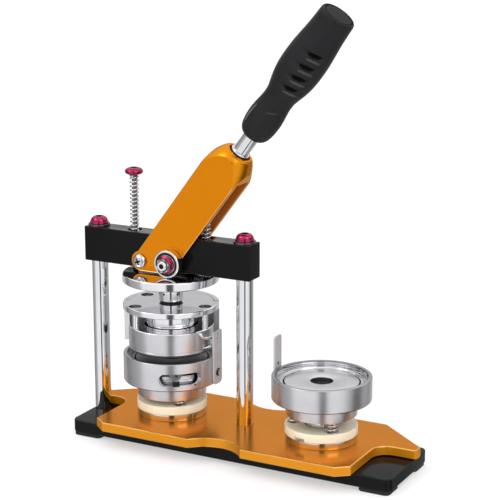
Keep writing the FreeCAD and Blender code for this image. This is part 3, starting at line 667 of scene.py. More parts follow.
# its rounded rims get the lighter orange as a painted highlight
o = prism("rotary_plate_anodised", plate_outline, 13.4, 21.0, [M["orange"], M["orange_rim"], M["orange_edge"]], bevel=0.75, steps=2,
          holes=[circle(0, 0, 6.9, 64)], hole_bevel=0.25)
o = carve(o, [rod_cutter("bush_bore", 9.0, 12.0, 19.4, M["orange"], segs=64)])
# the column's hole stays open above the bush
bm = bmesh.new()
bm.from_mesh(o.data)
bmesh.ops.delete(bm, geom=[f for f in bm.faces if f.calc_center_median().xy.length < 0.0068], context="FACES")
bm.to_mesh(o.data)
bm.free()
heal(o.data)
for p in o.data.polygons:
    if abs(p.normal.z) < 0.3 and p.material_index == 0:
        p.material_index = 2
done(o, "turntable", "orange_anodised", "rotary_plate")
o = lathe("pivot_bush_sunk", [(6.66, 13.3), (9, 13.3), (9, 19.4), (6.66, 19.4)], M["brass"], (0, 0, 0), bevel=0.3)
done(o, "turntable", "bush_brass", "pivot_bush")

# ---------------------------------------------------------------- lower dies
for tag, x, side, cz, fz, az, sy, sz in (("left", -66.2, 1, 49.1, 37.7, 56.0, 4.0, 58.5), ("right", 66.2, -1, 52.9, 41.8, 60.0, 3.0, 61.0)):
    o = lathe("die_post_" + tag, [(0, 21), (27.7, 21), (28, 21.3), (28, 26.3), (12, 26.3), (12, 61.9), (6, 61.9), (6, 40), (0, 40)],
              [M["mirror"], M["gunmetal"]], (x, 0, 0), bevel=0.06)
    for p in o.data.polygons:
        if p.center.z > 0.0619 - 1e-4 or math.hypot(p.center.x, p.center.y) < 0.0061 and p.center.z > 0.0399:
            p.material_index = 1
    done(o, "turntable", "turned_steel", tag + "_die_post")
    o = lathe("cam_ring_" + tag, [(12.5, 26.3), (28, 26.3), (28, 33.2), (12.5, 33.2)], M["ivory"], (x, 0, 0), bevel=0.7)
    cuts = []
    for i, a in enumerate((-42, 78, 198)):
        cuts.append(rod_cutter("pocket", 5.2, 28.0, 36.0, M["ivory"], (x + 21 * cos(radians(a)), 21 * sin(radians(a)), 0)))
    n0 = 110 if side > 0 else -112
    v, f = turn_mesh([(23.5, 25.3), (31, 25.3), (31, 28.9), (23.5, 28.9)], 16, n0, n0 + 20)
    cuts.append(piece("step_cut", v, f, M["ivory"], place=Matrix.Translation(Vector((x, 0, 0)))))
    o = carve(o, cuts)
    done(o, "turntable", "ivory_nylon", tag + "_cam_ring")
    for i, a in enumerate((-42, 78, 198)):
        o = spring("die_spring_%s_%d" % (tag, i + 1), x + 21 * cos(radians(a)), 21 * sin(radians(a)), 28.0, fz, 4.25, 1.5,
                   2.0 if side > 0 else 3.3, M["spring"], start=0.6 * i)
        done(o, "turntable", "spring_steel", "%s_die_spring_%d" % (tag, i + 1))
        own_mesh(o)
    o = lathe("anvil_" + tag, [(12, az), (28.6, az), (28.6, 66.9), (8.75, 66.9), (8.75, 61.9), (12, 61.9)], [M["face"], M["gunmetal"]], (x, 0, 0), bevel=0.3)
    for p in o.data.polygons:
        if math.hypot(p.center.x, p.center.y) < 0.0089 and p.center.z < 0.0665 or side > 0 and p.center.z > 0.066:
            p.material_index = 1
    done(o, "turntable", "turned_steel", tag + "_anvil")
    o = lathe("cup_flange_" + tag, [(12.06, fz), (27.5, fz), (27.5, cz - 0.9), (26.9, cz - 0.7), (26.9, cz), (12.06, cz)], [M["turned"], M["shield"]], (x, 0, 0), bevel=0.3)
    # the flange's neck under the cup is painted black: a painted shadow line
    for p in o.data.polygons:
        if p.center.z > (cz - 0.72) * MM:
            p.material_index = 1
    done(o, tag + "_cup", "turned_steel", tag + "_cup_flange")
    prof = [(12.06, cz), (37.6, cz), (38.4, cz + 0.9), (38.4, 70.9), (37.9, 71.4), (35.5, 71.4), (35, 70.9), (35, 68.3), (35.45, 68.1), (35.45, 67.0), (34.4, 67.0), (34.4, 67.4), (32.2, 67.4), (31.9, 66.7), (29.6, 66.7),
            (29.6, 63.9), (34.2, 63.9), (34.2, cz + 3.5), (12.06, cz + 3.5)]
    o = lathe("cup_" + tag, prof, [M["turned"], M["mirror"], M["gunmetal"], M["rim"]], (x, 0, 0), bevel=0.4, segs=180)
    if side > 0:
        pts = []
        for a0, a1, ac in ((90, 270, -67.4), (-90, 90, -30.6)):
            for k in range(13):
                t = radians(a0 + (a1 - a0) * k / 12)
                pts.append((radians(ac) * 38.4 + 5.1 * cos(t), 58.5 + 5.1 * sin(t)))
        # walk the rim of the slot round the wall and cut from R31 to R41
        ring = []
        n = len(pts)
        for i in range(n):
            p, q2 = pts[i], pts[(i + 1) % n]
            steps = max(1, int(math.hypot(q2[0] - p[0], q2[1] - p[1]) / 1.2))
            for k in range(steps):
                t = k / steps
                ring.append((p[0] + (q2[0] - p[0]) * t, p[1] + (q2[1] - p[1]) * t))
        lo = radians(-49.0) * 38.4
        verts, faces = [], []
        for rr in (32.0, 41.0):
            for s, z in ring:
                a = s / 38.4
                verts.append((rr * cos(a), rr * sin(a), z))
        n = len(ring)
        for k in range(n):
            faces.append((k, (k + 1) % n, n + (k + 1) % n, n + k))
        # caps as strips between the upper and the lower rim
        top = sorted([k for k in range(n) if ring[k][1] >= 58.5], key=lambda k: ring[k][0])
        for base in (0, n):
            cen = [len(verts)]
            rr = 32.0 if base == 0 else 41.0
            verts.append((rr * cos(lo / 38.4), rr * sin(lo / 38.4), 58.5))
            for k in range(n):
                faces.append((base + k, base + (k + 1) % n, cen[0]))
        o = carve(o, [piece("window_cut", verts, faces, M["polished"], place=Matrix.Translation(Vector((x, 0, 0))))])
    o = carve(o, [rod_cutter("screw_hole", 1.7, 28, 45, M["turned"], place=Matrix.Translation(Vector((x, sy, sz))) @ Matrix.Rotation(radians(90 * side), 4, "Y"))])
    # dark bands at the bottom edge, the rim's inner edge and low inside both cups, and the left cup's interior: painted
    # shade; the rim tops take the darker rim steel, also painted shade
    for p in o.data.polygons:
        c = p.center
        rad = math.hypot(c.x, c.y) / MM
        if rad > 37.3 and c.z < (cz + 0.88) * MM and abs(p.normal.z) > 0.1:
            p.material_index = 2
        elif rad < 34.9 and c.z > 0.063 and side > 0 or rad < 34.5 and c.z < 0.0665:
            p.material_index = 2
        elif 34.9 < rad < 35.6 and c.z > 0.0705 and p.normal.z < 0.98:
            p.material_index = 2
        elif p.normal.z > 0.2 and c.z > 0.0705:
            p.material_index = 3
        elif rad < 35.6 or abs(p.normal.z) > 0.2:
            p.material_index = 1
    done(o, tag + "_cup", "turned_steel", tag + "_cup")
    if side > 0:
        # turned liner behind the window, with a hanging V lug and a stop block in front of it
        o = lathe("cup_liner", [(30.2, 53.0), (31.4, 53.0), (31.4, 54.6), (31.0, 54.8), (31.4, 55.0), (31.4, 56.4), (31.0, 56.6), (31.4, 56.8),
                                (31.4, 59.4), (30.2, 59.4)], M["turned"], (x, 0, 0), bevel=0.0, a0=-100, a1=2, segs=80)
        done(o, "left_cup", "turned_steel")
        aw = radians(-53.5)
        look = Matrix.Translation(Vector((x + 31.7 * cos(aw), 31.7 * sin(aw), 0))) @ Matrix(
            ((-sin(aw), 0, cos(aw), 0), (cos(aw), 0, sin(aw), 0), (0, 1, 0, 0), (0, 0, 0, 1)))
        ol2 = [(-8.0, 63.7), (-5.6, 61.4), (-2.2, 57.2), (2.2, 57.2), (5.6, 61.4), (8.0, 63.7)]
        o = prism("window_lug", soften(ol2, 0.5, 3), 0, 1.4, M["gunmetal"], bevel=0.25, steps=2, place=look,
                  holes=[[(0, 58.6), (1.5, 60.2), (0, 61.8), (-1.5, 60.2)]], hole_bevel=0.1)
        done(o, "left_cup", "turned_steel")
        o = prism("window_stop", soften([(-2.8, 52.8), (2.8, 52.8), (2.8, 55.6), (-2.8, 55.6)], 0.4, 3), 0, 1.4, M["shield"], bevel=0.25, steps=2, place=look)
        done(o, "left_cup", "turned_steel")
    # strip: rounded foot, three holes
    s0 = x + 38.5 * side - (0 if side > 0 else 1.6)
    bz, tz, hw = (48.9, 92.4, 6.5) if side > 0 else (52.5, 96.2, 5.5)
    eyes = (tz - 6.5, tz - 3.0) if side > 0 else (74.2,)
    # outline drawn in (own X = Y of the machine, own Y = height)
    ol = [(-hw, tz - 1.2), (-hw, bz + 4)] + arc(-hw + 4, bz + 4, 4, 180, 270, 6)[1:] + arc(hw - 4, bz + 4, 4, 270, 360, 6) + [(hw, tz - 1.2), (hw - 1.2, tz), (-hw + 1.2, tz)]
    place = Matrix.Translation(Vector((s0, sy, 0))) @ Matrix(((0, 0, 1, 0), (1, 0, 0, 0), (0, 1, 0, 0), (0, 0, 0, 1)))
    o = prism("strip_" + tag, ol, 0, 1.6, M["strip"], bevel=0.25, steps=2, place=place,
              holes=[circle(0, sz, 1.7, 24), *[circle(0, e, 1.2, 20) for e in eyes]], hole_bevel=0.15)
    done(o, tag + "_cup", "polished_steel", tag + "_strip")
    if side < 0:
        o = lathe("strip_rivet", [(0, 0.1), (1.18, 0.1), (1.18, 1.4), (0.9, 1.75), (0, 1.9)], M["shield"], bevel=0.1, segs=32,
                  place=Matrix.Translation(Vector((s0, sy, eyes[0]))) @ Matrix.Rotation(radians(90), 4, "Y"))
        done(o, tag + "_cup", "polished_steel")
    out = Matrix.Translation(Vector((x + 33.5 * side, sy, sz))) @ Matrix.Rotation(radians(90 * side), 4, "Y")
    prof = [(0, 0), (1.7, 0), (1.7, 6.6), (3.2, 6.6), (3.2, 6.9), (2.9, 7.5), (2.2, 7.95), (1.2, 8.15), (0, 8.2)]
    o = lathe("strip_screw_" + tag, prof, [M["bearing"], M["shield"]], bevel=0.0, angle=30.0, place=out, segs=48)
    for p in o.data.polygons:
        if math.hypot(p.center.x, p.center.y) > 0.0024:
            p.material_index = 1
    c = piece("slot_cut", [(sx2, sy2, z) for z in (7.3, 9.0) for sx2, sy2 in ((-4, -0.35), (4, -0.35), (4, 0.35), (-4, 0.35))],
              [(0, 3, 2, 1), (4, 5, 6, 7), (0, 1, 5, 4), (1, 2, 6, 5), (2, 3, 7, 6), (3, 0, 4, 7)], M["bearing"],
              place=out @ Matrix.Rotation(radians(35), 4, "Z"))
    o = carve(o, [c], angle=30.0)
    done(o, tag + "_cup", "bearing_steel", tag + "_strip_screw")

# ---------------------------------------------------------------- ram
dx = -66.2
o = lathe("pressure_disc_polished", [(0, 129.4), (37.3, 129.4), (38.1, 130.2), (38.1, 135.6), (37.3, 136.4), (0, 136.4)], [M["polished"], M["mirror"]],
          (dx, 0, 0), bevel=0.3, segs=200)
o = carve(o, [rod_cutter("thread", 2.1, 128, 138, M["polished"], (dx + s * 32.5, 0, 0), segs=32) for s in (-1, 1)])
for p in o.data.polygons:
    if p.normal.z > 0.9:
        p.material_index = 1
done(o, "ram", "polished_steel", "pressure_disc")
o = lathe("ram_shaft_polished", [(0, 112.2), (8.6, 112.2), (8.6, 113.7), (9.5, 113.9), (9.5, 129.4), (0, 129.4)],
          [M["mirror"], M["shield"]], (dx, 0, 0), bevel=0.1)
for p in o.data.polygons:
    if 0.11221 < p.center.z < 0.1141 and math.hypot(p.center.x, p.center.y) < 0.00945:
        p.material_index = 1
done(o, "ram", "polished_steel", "ram_shaft")
hang = ((-122, 31.5), (-2, 31.5), (164, 27.8))
o = lathe("upper_flange_polished", [(0, 107.6), (37.6, 107.6), (38.1, 108.1), (38.1, 111.7), (37.6, 112.2), (0, 112.2)], [M["polished"], M["mirror"]],
          (dx, 0, 0), bevel=0.25, segs=200)
cuts = []
for a, r in hang:
    c = (dx + r * cos(radians(a)), r * sin(radians(a)), 0)
    # the bolt seats' walls take the dark cutter material: painted shade in the recesses
    cuts.append(rod_cutter("seat", 5.0, 108.3, 116, M["gunmetal"], c))
    cuts.append(rod_cutter("hole", 2.6, 105, 110, M["polished"], c, segs=32))
v, f = turn_mesh([(33.4, 105), (46, 105), (46, 115), (33.4, 115)], 96, 28, 202)
cuts.append(piece("back_cut", v, f, M["polished"], place=Matrix.Translation(Vector((dx, 0, 0)))))
o = carve(o, cuts)
for p in o.data.polygons:
    if p.normal.z > 0.95 and p.center.z > 0.1121:
        p.material_index = 1
done(o, "ram", "polished_steel", "upper_flange")
o = lathe("punch_block", [(0, 86.8), (19.4, 86.8), (20.2, 87.6), (20.2, 96), (20.6, 96.4), (20.6, 107.6), (0, 107.6)], M["polished"], (dx, 0, 0), bevel=0.3)
done(o, "ram", "turned_steel", "punch")

# ---------------------------------------------------------------- upper ring
prof = [(21.4, 74.8), (32.2, 74.8), (33.9, 77.2), (33.9, 78.4), (33.0, 78.5), (33.0, 79.2), (33.9, 79.3), (33.9, 93.9), (33.3, 94.5), (21.4, 94.5)]
o = lathe("upper_ring_turned", prof, [M["turned"], M["polished"]], (dx, 0, 0), bevel=0.2, segs=180)
cuts = [rod_cutter("thread", 2.3, 86.4, 98, M["turned"], (dx + r * cos(radians(a)), r * sin(radians(a)), 0), segs=32) for a, r in hang]
o = carve(o, cuts)
for p in o.data.polygons:
    if abs(p.normal.z) > 0.2:
        p.material_index = 1
done(o, "ring", "turned_steel", "upper_ring")
o = lathe("guide_sleeve_shell", [(33.92, 79), (38.1, 79), (38.1, 105.4), (37.0, 106.6), (37.0, 107.4), (38.1, 108.2), (38.1, 112.2), (33.92, 112.2)], [M["zinc"], M["turned"]], (dx, 0, 0), bevel=0.5, segs=110, a0=30, a1=200)
for p in o.data.polygons:
    if p.normal.x * p.center.x + p.normal.y * p.center.y > -0.3 * math.hypot(p.center.x, p.center.y):
        p.material_index = 1
done(o, "ring", "polished_steel", "guide_sleeve")
for i, (a, r) in enumerate(hang):
    at = (dx + r * cos(radians(a)), r * sin(radians(a)), 0)
    prof = [(0, 86.4), (2.3, 86.4), (2.3, 108.6), (4.6, 108.6), (4.6, 110.2), (4.2, 110.6), (0, 110.6)]
    o = lathe("ring_bolt_screw_%d" % (i + 1), prof, M["bearing"], at, bevel=0.2, segs=64)
    o = carve(o, [hex_cutter("socket", 2.4, 109.4, 114, M["bearing"], at, 10.0 + 25 * i)])
    done(o, "ring", "bearing_steel", "ring_bolt_%d" % (i + 1))
# bent wire clip
clip = []


def bend(points, n=10):
    """Smooth run through points."""
    out = []
    pts = [Vector(q2) for q2 in points]
    pts = [pts[0] * 2 - pts[1]] + pts + [pts[-1] * 2 - pts[-2]]
    for i in range(1, len(pts) - 2):
        a, b2, c, d = pts[i - 1:i + 3]
        for k in range(n):
            t = k / n
            out.append(0.5 * ((2 * b2) + (c - a) * t + (2 * a - 5 * b2 + 4 * c - d) * t * t + (3 * b2 - a - 3 * c + d) * t ** 3))
    out.append(pts[-2])
    return [tuple(q2) for q2 in out]


def off_ring(a, r, z):
    return (r * cos(radians(a)), r * sin(radians(a)), z)


clip = bend([off_ring(-18.5, 30.8, 92.6), off_ring(-18.5, 33.6, 92.6), off_ring(-17.6, 35.0, 91.2), off_ring(-14.5, 35.5, 88.8),
             off_ring(-8.5, 36.1, 87.8), off_ring(-1.5, 36.7, 87.4)])
o = tube("wire_clip", clip, 1.2, M["chrome"], 16, Matrix.Translation(Vector((dx, 0, 0))))
done(o, "ring", "polished_steel", "ring_wire_clip")
hook = bend([off_ring(-12, 32.6, 79.8), off_ring(-10, 34.6, 80.0), off_ring(-6, 36.2, 80.8), off_ring(-2, 37.2, 81.8)])
o = tube("wire_hook", hook, 0.7, M["bearing"], 12, Matrix.Translation(Vector((dx, 0, 0))))
done(o, "ring", "polished_steel")

# ---------------------------------------------------------------- lever fork
fw, pin_off = 16.5, 10.2
pr = 8.0
foot = arc(0, pin_off, pr, math.degrees(math.asin((fw - pin_off) / pr)), 217.15, 26)
fx0, fz0 = foot[-1]
ca, sa = cos(radians(-52.85)), sin(radians(-52.85))
ol = [(121.5, fw)] + foot + [(fx0 + 22.6 * ca, fz0 + 22.6 * sa), (13.2, -fw + 3.2), (17.0, -fw), (121.5, -fw)]
# own X = rod direction, own Y = across, raised along own Z = machine Y
side_on = LEVER @ Matrix(((1, 0, 0, 0), (0, 0, -1, 0), (0, 1, 0, 0), (0, 0, 0, 1)))
# its rounded rims get the lighter orange as a painted highlight
o = prism("lever_fork_anodised", soften(ol, 0.8, 3, limit=25.0), -14, 14, [M["orange"], M["orange_rim"]], bevel=0.7, steps=2, place=side_on)
along = LEVER @ Matrix.Rotation(radians(90), 4, "Y")
nose = [(10.0, 122.6), (10.4, 121.5)]
for t in range(1, 13):
    u = t / 12.0
    nose.append((10.4 + 2.2 * u ** 0.5 + 10.0 * u ** 0.92 + 0.0, 121.5 - 24.0 * u ** 1.25))
nose += [(31, 97.5), (31, 122.6)]
v, f = turn_mesh(nose, 120)
# the nose faces take the lighter orange: a painted highlight
cut_nose = piece("nose_cut", v, f, M["orange_nose"], place=along)
bv = [(-32, -9.3, -32), (104, -9.3, -32), (104, 9.3, -32), (-32, 9.3, -32), (-32, -9.3, 32), (104, -9.3, 32), (104, 9.3, 32), (-32, 9.3, 32)]
# the slot's walls take the darker orange as painted shade; so do the walls of the rod's mouth cut below
cut_slot = piece("slot_cut", bv, [(0, 3, 2, 1), (4, 5, 6, 7), (0, 1, 5, 4), (1, 2, 6, 5), (2, 3, 7, 6), (3, 0, 4, 7)], M["orange_slot"], place=LEVER)
cross = LEVER @ Matrix.Rotation(radians(-90), 4, "X")  # own Z = machine +Y


def across(u, w):
    return LEVER @ Matrix.Translation(Vector((u, 0, w))) @ Matrix.Rotation(radians(-90), 4, "X")


cuts = [cut_nose, cut_slot,
        rod_cutter("pin_hole", 4.06, -20, 20, M["orange"], place=across(0, 10.2)),
        rod_cutter("axle_hole", 4.0, -20, 20, M["orange"], place=across(18.534, -11.047)),
        rod_cutter("axle_seat", 6.1, -11.4, 11.4, M["orange"], place=across(18.534, -11.047)),
        rod_cutter("socket", 6.3, 106, 146, M["orange"], place=along, segs=64),
        rod_cutter("mouth", 9.1, 118.9, 130, M["orange_slot"], place=along, segs=64)]
o = carve(o, cuts, angle=17.0)
done(o, "lever", "orange_anodised", "lever_fork")

prof = [(0, 106), (5.8, 106), (6.3, 106.5), (6.3, 200), (0, 200)]
o = lathe("lever_rod_bar", prof, M["rod"], bevel=0.2, place=along, segs=96)
done(o, "lever", "polished_steel", "lever_rod")
prof = [(6.3, 118.9), (7.7, 118.9), (7.7, 120.7), (7.2, 121.1), (7.2, 121.4), (7.7, 121.8), (7.7, 122.9), (7.2, 123.3), (6.3, 123.3)]
o = lathe("lock_nut_ring", prof, [M["rod"], M["shield"]], bevel=0.12, place=along, segs=96)
unturn = along.inverted()
# the nut's groove and its part inside the fork's mouth are painted black: painted shade
for p in o.data.polygons:
    q2 = unturn @ (Vector(p.center) / MM)
    if 120.72 < q2.z < 121.78 and math.hypot(q2.x, q2.y) < 7.66 or q2.z < 120.0:
        p.material_index = 1
done(o, "lever", "polished_steel", "rod_lock_nut")

# ---------------------------------------------------------------- grip
ctrl = [(0, 8.2), (1.3, 9.9), (4, 11.6), (8, 12.7), (13, 13.3), (19, 13.4), (25, 12.9), (31, 12.1), (36, 11.8), (41, 12.2), (46, 13.5), (52, 15.0),
        (59, 16.2), (67, 16.7), (77, 16.6), (87, 15.9), (97, 15.0), (106, 14.5), (112.4, 14.3), (115, 13.9), (116, 13.0)]


def grip_radius(u):
    for i in range(len(ctrl) - 1):
        if u <= ctrl[i + 1][0] or i == len(ctrl) - 2:
            (x0, r0), (x1, r1) = ctrl[i], ctrl[i + 1]
            xa, ra = ctrl[i - 1] if i else (x0 - (x1 - x0), r0 - (r1 - r0))
            xb, rb = ctrl[i + 2] if i + 2 < len(ctrl) else (x1 + (x1 - x0), r1 + (r1 - r0))
            m0, m1 = (r1 - ra) / (x1 - xa), (rb - r0) / (xb - x0)
            h = x1 - x0
            t = (u - x0) / h
            return ((2 * t ** 3 - 3 * t * t + 1) * r0 + (t ** 3 - 2 * t * t + t) * h * m0
                    + (-2 * t ** 3 + 3 * t * t) * r1 + (t ** 3 - t * t) * h * m1)


def bell(v, w):
    v = abs(v) / w
    return 0.0 if v >= 1 else (1 - v * v) ** 2


cols, rows = 160, 300
verts, faces, sunk, glints, seam_glints, tone = [], [], [], [], [], []
us = []
for k in range(rows + 1):
    us.append(115.9 * (k / rows))
for u in us:
    base = grip_radius(u)
    for c in range(cols):
        ph2 = 2 * pi * c / cols
        # own angle: 0 = lever's lower side, -90 deg = machine front
        d = well = glint = line = 0.0
        deg = (math.degrees(ph2) + 180) % 360 - 180
        # grooves: sunk wells that get painted shade where deep, and raised lower lips with a painted highlight
        for gu in (53.2, 63.6, 74.0, 84.6):
            off = deg - (-60.0)
            bend = u - gu - 0.03 * off
            well += 2.9 * bell(bend, 3.1) * bell(off, 46.0)
            lip = bell(bend + 3.5, 1.7) * bell(off - 4.0, 40.0)
            d += 0.6 * lip
            glint += lip
        # moulding crease on the bulb, with a painted highlight line along its lower side, and the parting line of the
        # two shells
        slant = u - 29.2 - 0.10 * (deg + 63.0)
        d -= 0.42 * bell(slant, 0.9) * bell(deg + 63.0, 38.0)
        glint += bell(slant + 0.9, 0.9) * bell(deg + 63.0, 36.0)
        for pl in (-131.0, 49.0):
            off = (deg - pl + 180) % 360 - 180
            seam = bell(off, 5.0) * bell(u - 17.7, 13.0)
            d += 0.3 * seam
            line += seam
        # slightly flattened towards the end
        fl = max(0.0, min(1.0, (u - 81) / 30.0))
        squeeze = 1.0 - 0.03 * fl * abs(cos(ph2)) ** 2
        r = base * squeeze + d - well
        sunk.append(well)
        glints.append(glint)
        seam_glints.append(line)
        verts.append((r * cos(ph2), r * sin(ph2), u))
for i in range(rows):
    for c in range(cols):
        c2 = (c + 1) % cols
        faces.append((i * cols + c, i * cols + c2, (i + 1) * cols + c2, (i + 1) * cols + c))
        deep, lit, edge = (sum(v[q2] for q2 in faces[-1]) / 4 for v in (sunk, glints, seam_glints))
        # tones: 1 painted shade in the wells, 4 painted highlight on the parting line, 3 painted highlight on the lips
        # and the crease
        tone.append(1 if deep > 1.7 else 4 if edge > 0.3 else 3 if lit > 0.5 else 0)
# end face: rounded rim, thin sunk line darkened with painted shade, flat oval
last = rows * cols
for k, (r, dz) in enumerate(((12.7, 0.05), (12.2, 0.02), (11.95, -0.6), (11.4, -0.6), (11.15, -0.05), (8.0, 0.0), (4.0, 0.03))):
    start = len(verts)
    for c in range(cols):
        ph2 = 2 * pi * c / cols
        q2 = r * (1.0 - 0.03 * abs(cos(ph2)) ** 2)
        verts.append((q2 * cos(ph2), q2 * sin(ph2), 115.94 + dz))
    for c in range(cols):
        c2 = (c + 1) % cols
        faces.append((last + c, last + c2, start + c2, start + c))
        tone.append(1 if k in (2, 3, 4) else 2)
    last = start
tip = len(verts)
verts.append((0, 0, 115.98))
faces += [(last + c, last + (c + 1) % cols, tip) for c in range(cols)]
tone += [2] * cols
# mouth round the rod
first = len(verts)
for c in range(cols):
    ph2 = 2 * pi * c / cols
    verts.append((6.32 * cos(ph2), 6.32 * sin(ph2), 0.0))
faces += [(c, first + c, first + (c + 1) % cols, (c + 1) % cols) for c in range(cols)]
deep = len(verts)
for c in range(cols):
    ph2 = 2 * pi * c / cols
    verts.append((6.32 * cos(ph2), 6.32 * sin(ph2), 61.2))
faces += [(first + c, deep + c, deep + (c + 1) % cols, first + (c + 1) % cols) for c in range(cols)]
tip = len(verts)
verts.append((0, 0, 61.2))
faces += [(deep + c, tip, deep + (c + 1) % cols) for c in range(cols)]
tone += [0] * (len(faces) - len(tone))
o = piece("lever_grip_moulded", verts, faces, [M["grip"], M["grip_deep"], M["grip_end"], M["grip_lip"], M["grip_seam"]], 38.0, along @ Matrix.Translation(Vector((0, 0, 139))), tone)
done(o, "lever", "grip_black", "lever_grip")

# ---------------------------------------------------------------- rollers, axles, nuts
AX = Vector((-57.5537, 0, 147.6649))
for tag, s in (("front", -1), ("rear", 1)):
    # own Z points outwards from the lever
    out = Matrix.Translation(AX) @ Matrix.Rotation(radians(90 if s < 0 else -90), 4, "X")
    prof = [(0, 9.4), (6, 9.4), (6, 11.3), (4, 11.3), (4, 27.6), (3.4, 28.6), (2.0, 28.6), (1.7, 26.8), (0, 26.6)]
    o = lathe(tag + "_axle_stub", prof, [M["bearing"], M["shield"]], bevel=0.12, place=out, segs=64)
    # the axle end's centre recess is painted black: painted shade
    for p in o.data.polygons:
        if math.hypot(p.center.x, p.center.y) < 0.00195 and p.center.z > 0.02:
            p.material_index = 1
    done(o, "lever", "bearing_steel", tag + "_axle")
    y0, y1 = 14.4, 21.4
    outer = [(9.4, y0), (10.5, y0), (11, y0 + 0.5), (11, y1 - 0.5), (10.5, y1), (9.4, y1)]
    inner = [(4.06, y0), (7.4, y0), (7.4, y1), (4.06, y1)]
    shield = [(7.4, y0 + 0.6), (9.4, y0 + 0.6), (9.4, y1 - 0.6), (7.4, y1 - 0.6)]
    verts, faces, mats = [], [], []
    for k, prf in enumerate((outer, inner, shield)):
        v, f = turn_mesh(soften(prf, 0.3, 3), 128)
        b0 = len(verts)
        verts += v
        faces += [tuple(i + b0 for i in q2) for q2 in f]
        mats += [1 if k == 2 else 0] * len(f)
    me_o = bpy.data.meshes.new(tag + "_roller_bearing")
    me_o.from_pydata([(x * MM, y * MM, z * MM) for x, y, z in verts], [], faces)
    me_o.materials.append(M["bearing"])
    me_o.materials.append(M["shield"])
    for p, mi in zip(me_o.polygons, mats):
        p.material_index = mi
    bm = bmesh.new()
    bm.from_mesh(me_o)
    bmesh.ops.recalc_face_normals(bm, faces=bm.faces)
    bm.to_mesh(me_o)
    bm.free()
    shade(me_o, 15.0)
    o = bpy.data.objects.new(tag + "_roller_bearing", me_o)
    scene.collection.objects.link(o)
    p = out.copy()
    p.translation = p.translation * MM
    o.matrix_world = p
    done(o, tag + "_roller", "bearing_steel", tag + "_roller")
    # serrated flange nut: skirt with teeth, then the hexagon
    n0 = 21.75
    teeth = 24
    verts, faces = [], []
    rim = []
    seg = teeth * 4
    loops = [(4.0, n0, 0.0), (6.3, n0, 0.0), (7.05, n0, 0.14), (7.2, n0 + 0.35, 0.14), (7.15, n0 + 0.95, 0.12), (6.5, n0 + 1.5, 0.05), (5.3, n0 + 2.1, 0.0), (4.0, n0 + 2.1, 0.0)]
    for r, z, tooth in loops:
        rim.append(len(verts))
        for k in range(seg):
            a = 2 * pi * k / seg
            rr = r + (tooth if k % 4 < 2 else -tooth)
            verts.append((rr * cos(a), rr * sin(a), z))
    for i in range(len(loops)):
        r0, r1 = rim[i], rim[(i + 1) % len(loops)]
        for k in range(seg):
            faces.append((r0 + k, r0 + (k + 1) % seg, r1 + (k + 1) % seg, r1 + k))
    o = piece(tag + "_nut_skirt", verts, faces, M["pink"], 24.0, out)
    done(o, "lever", "pink_plated")
    hx = soften(hex_loop(6.15, 17.0), 0.35, 3)
    # the hexagons' rounded rims take the dark steel: painted dark reflection rings
    o = prism(tag + "_nut_hexagon", hx, n0 + 1.6, n0 + 5.2, [M["bearing"], M["gunmetal"]], bevel=0.5, steps=3, place=out, holes=[circle(0, 0, 4.25, 48)], hole_bevel=0.6)
    done(o, "lever", "pink_plated", tag + "_axle_nut")

# ---------------------------------------------------------------- stage, light, camera
fm, nt, b = new_mat("floor_white")
co = obj_coord(nt)
L(nt, ramp(nt, noise(nt, co, 1.5, 2.0), [(0.3, (0.545, 0.545, 0.545)), (0.7, (0.555, 0.555, 0.555))]), b.inputs["Base Color"])
# a lit table: part of its light comes through the top
b.inputs["Emission Color"].default_value = (1.0, 1.0, 1.0, 1.0)
b.inputs["Emission Strength"].default_value = 0.45
b.inputs["Roughness"].default_value = 0.9
b.inputs["Specular IOR Level"].default_value = 0.0
fl = bpy.data.meshes.new("studio_floor")
R = 14.0
rings = [0.0, 0.4, 1.0, 3.0, 7.0, R]
fv, ff = [(0, 0, -0.0002)], []
for r in rings[1:]:
    fv += [(r * cos(2 * pi * k / 48), r * sin(2 * pi * k / 48), -0.0002) for k in range(48)]
for k in range(48):
    ff.append((0, 1 + k, 1 + (k + 1) % 48))
for i in range(len(rings) - 2):
    for k in range(48):
        a0, b0 = 1 + i * 48, 1 + (i + 1) * 48
        ff.append((a0 + k, b0 + k, b0 + (k + 1) % 48, a0 + (k + 1) % 48))
fl.from_pydata(fv, [], ff)
fl.materials.append(fm)
floor = bpy.data.objects.new("studio_floor", fl)
scene.collection.objects.link(floor)
floor.visible_glossy = False

w = bpy.data.worlds.new("soft_studio")
scene.world = w
w.use_nodes = True
nt = w.node_tree
bg = nt.nodes["Background"]
dirn = N(nt, "ShaderNodeTexCoord").outputs["Generated"]
sep = N(nt, "ShaderNodeSeparateXYZ")
L(nt, dirn, sep.inputs[0])
# overhead soft light, dimmer towards the horizon
sky = ramp(nt, remap(nt, sep.outputs[2], 0.0, 1.0, 0.0, 1.0),
           [(0.0, (0.5, 0.5, 0.51)), (0.27, (0.52, 0.52, 0.53)), (0.46, (1.08, 1.08, 1.09)), (1.0, (1.14, 1.14, 1.15))])
# below the horizon: white sweep on both sides, an unlit gap in front, a dimmer room at the back
to_right = math_node(nt, "ADD", math_node(nt, "MULTIPLY", sep.outputs[0], 0.8829), math_node(nt, "MULTIPLY", sep.outputs[1], 0.4696))
to_front = math_node(nt, "SUBTRACT", math_node(nt, "MULTIPLY", sep.outputs[0], 0.4696), math_node(nt, "MULTIPLY", sep.outputs[1], 0.8829))
turn = math_node(nt, "ARCTAN2", to_right, to_front)


def grey(v):
    return (v, v, v * 1.01)


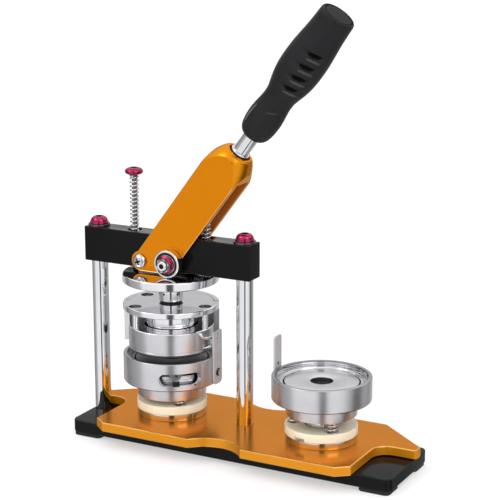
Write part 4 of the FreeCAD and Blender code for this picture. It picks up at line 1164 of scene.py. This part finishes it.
sweep = ramp(nt, remap(nt, turn, -pi, pi, 0.0, 1.0),
             [((d + 180.0) / 360.0, grey(v)) for d, v in (
                 (-180, 0.64), (-145, 0.62), (-125, 0.2), (-105, 0.42), (-78, 0.5), (-67, 0.98), (-48, 0.98), (-10, 1.05), (-6.5, 0.1), (7.0, 0.1), (10.5, 1.05),
                 (48, 1.0), (62, 0.6), (72, 0.42), (75, 0.06), (82, 0.06), (85, 0.4), (88, 0.05), (95, 0.05), (98, 0.42), (118, 0.5), (128, 0.25), (145, 0.6), (180, 0.64))])
lift = math_node(nt, "ADD", sep.outputs[2], math_node(nt, "MULTIPLY", to_right, 0.14))
col = blend_rgb(nt, remap(nt, lift, 0.30, 0.45, 0.0, 1.0), sweep, sky)
L(nt, col, bg.inputs["Color"])
bg.inputs["Strength"].default_value = 1.0


def area(name, loc, aim, size, power, shape="RECTANGLE", sy=None):
    d = bpy.data.lights.new(name, "AREA")
    d.shape = shape
    d.size = size
    d.size_y = sy or size
    d.energy = power
    ob = bpy.data.objects.new(name, d)
    ob.location = loc
    ob.rotation_euler = (Vector(aim) - Vector(loc)).to_track_quat("-Z", "Y").to_euler()
    scene.collection.objects.link(ob)
    return ob


area("key_box", (-1.4, -1.6, 2.2), (-0.03, 0, 0.12), 1.5, 14.0, sy=1.2)
area("fill_box", (1.9, -0.9, 1.7), (0, 0, 0.12), 1.4, 9.0, sy=1.4)

low = area("low_front_fill", (0.75, -1.55, 0.4), (0, 0, 0.05), 1.2, 12.0, sy=0.5)
low.visible_glossy = False

cam_d = bpy.data.cameras.new("photo_camera")
cam_d.sensor_fit = "HORIZONTAL"
cam_d.sensor_width = 36.0
cam_d.lens = 110.79
cam_d.clip_end = 100.0
cam = bpy.data.objects.new("photo_camera", cam_d)
cam.location = (0.53976, -1.00626, 0.44009)
cam.rotation_euler = (radians(90 - 13.72), 0.0, radians(28.01))
scene.collection.objects.link(cam)
scene.camera = cam
scene.view_settings.view_transform = "Standard"
scene.view_settings.look = "None"

bpy.context.view_layer.update()
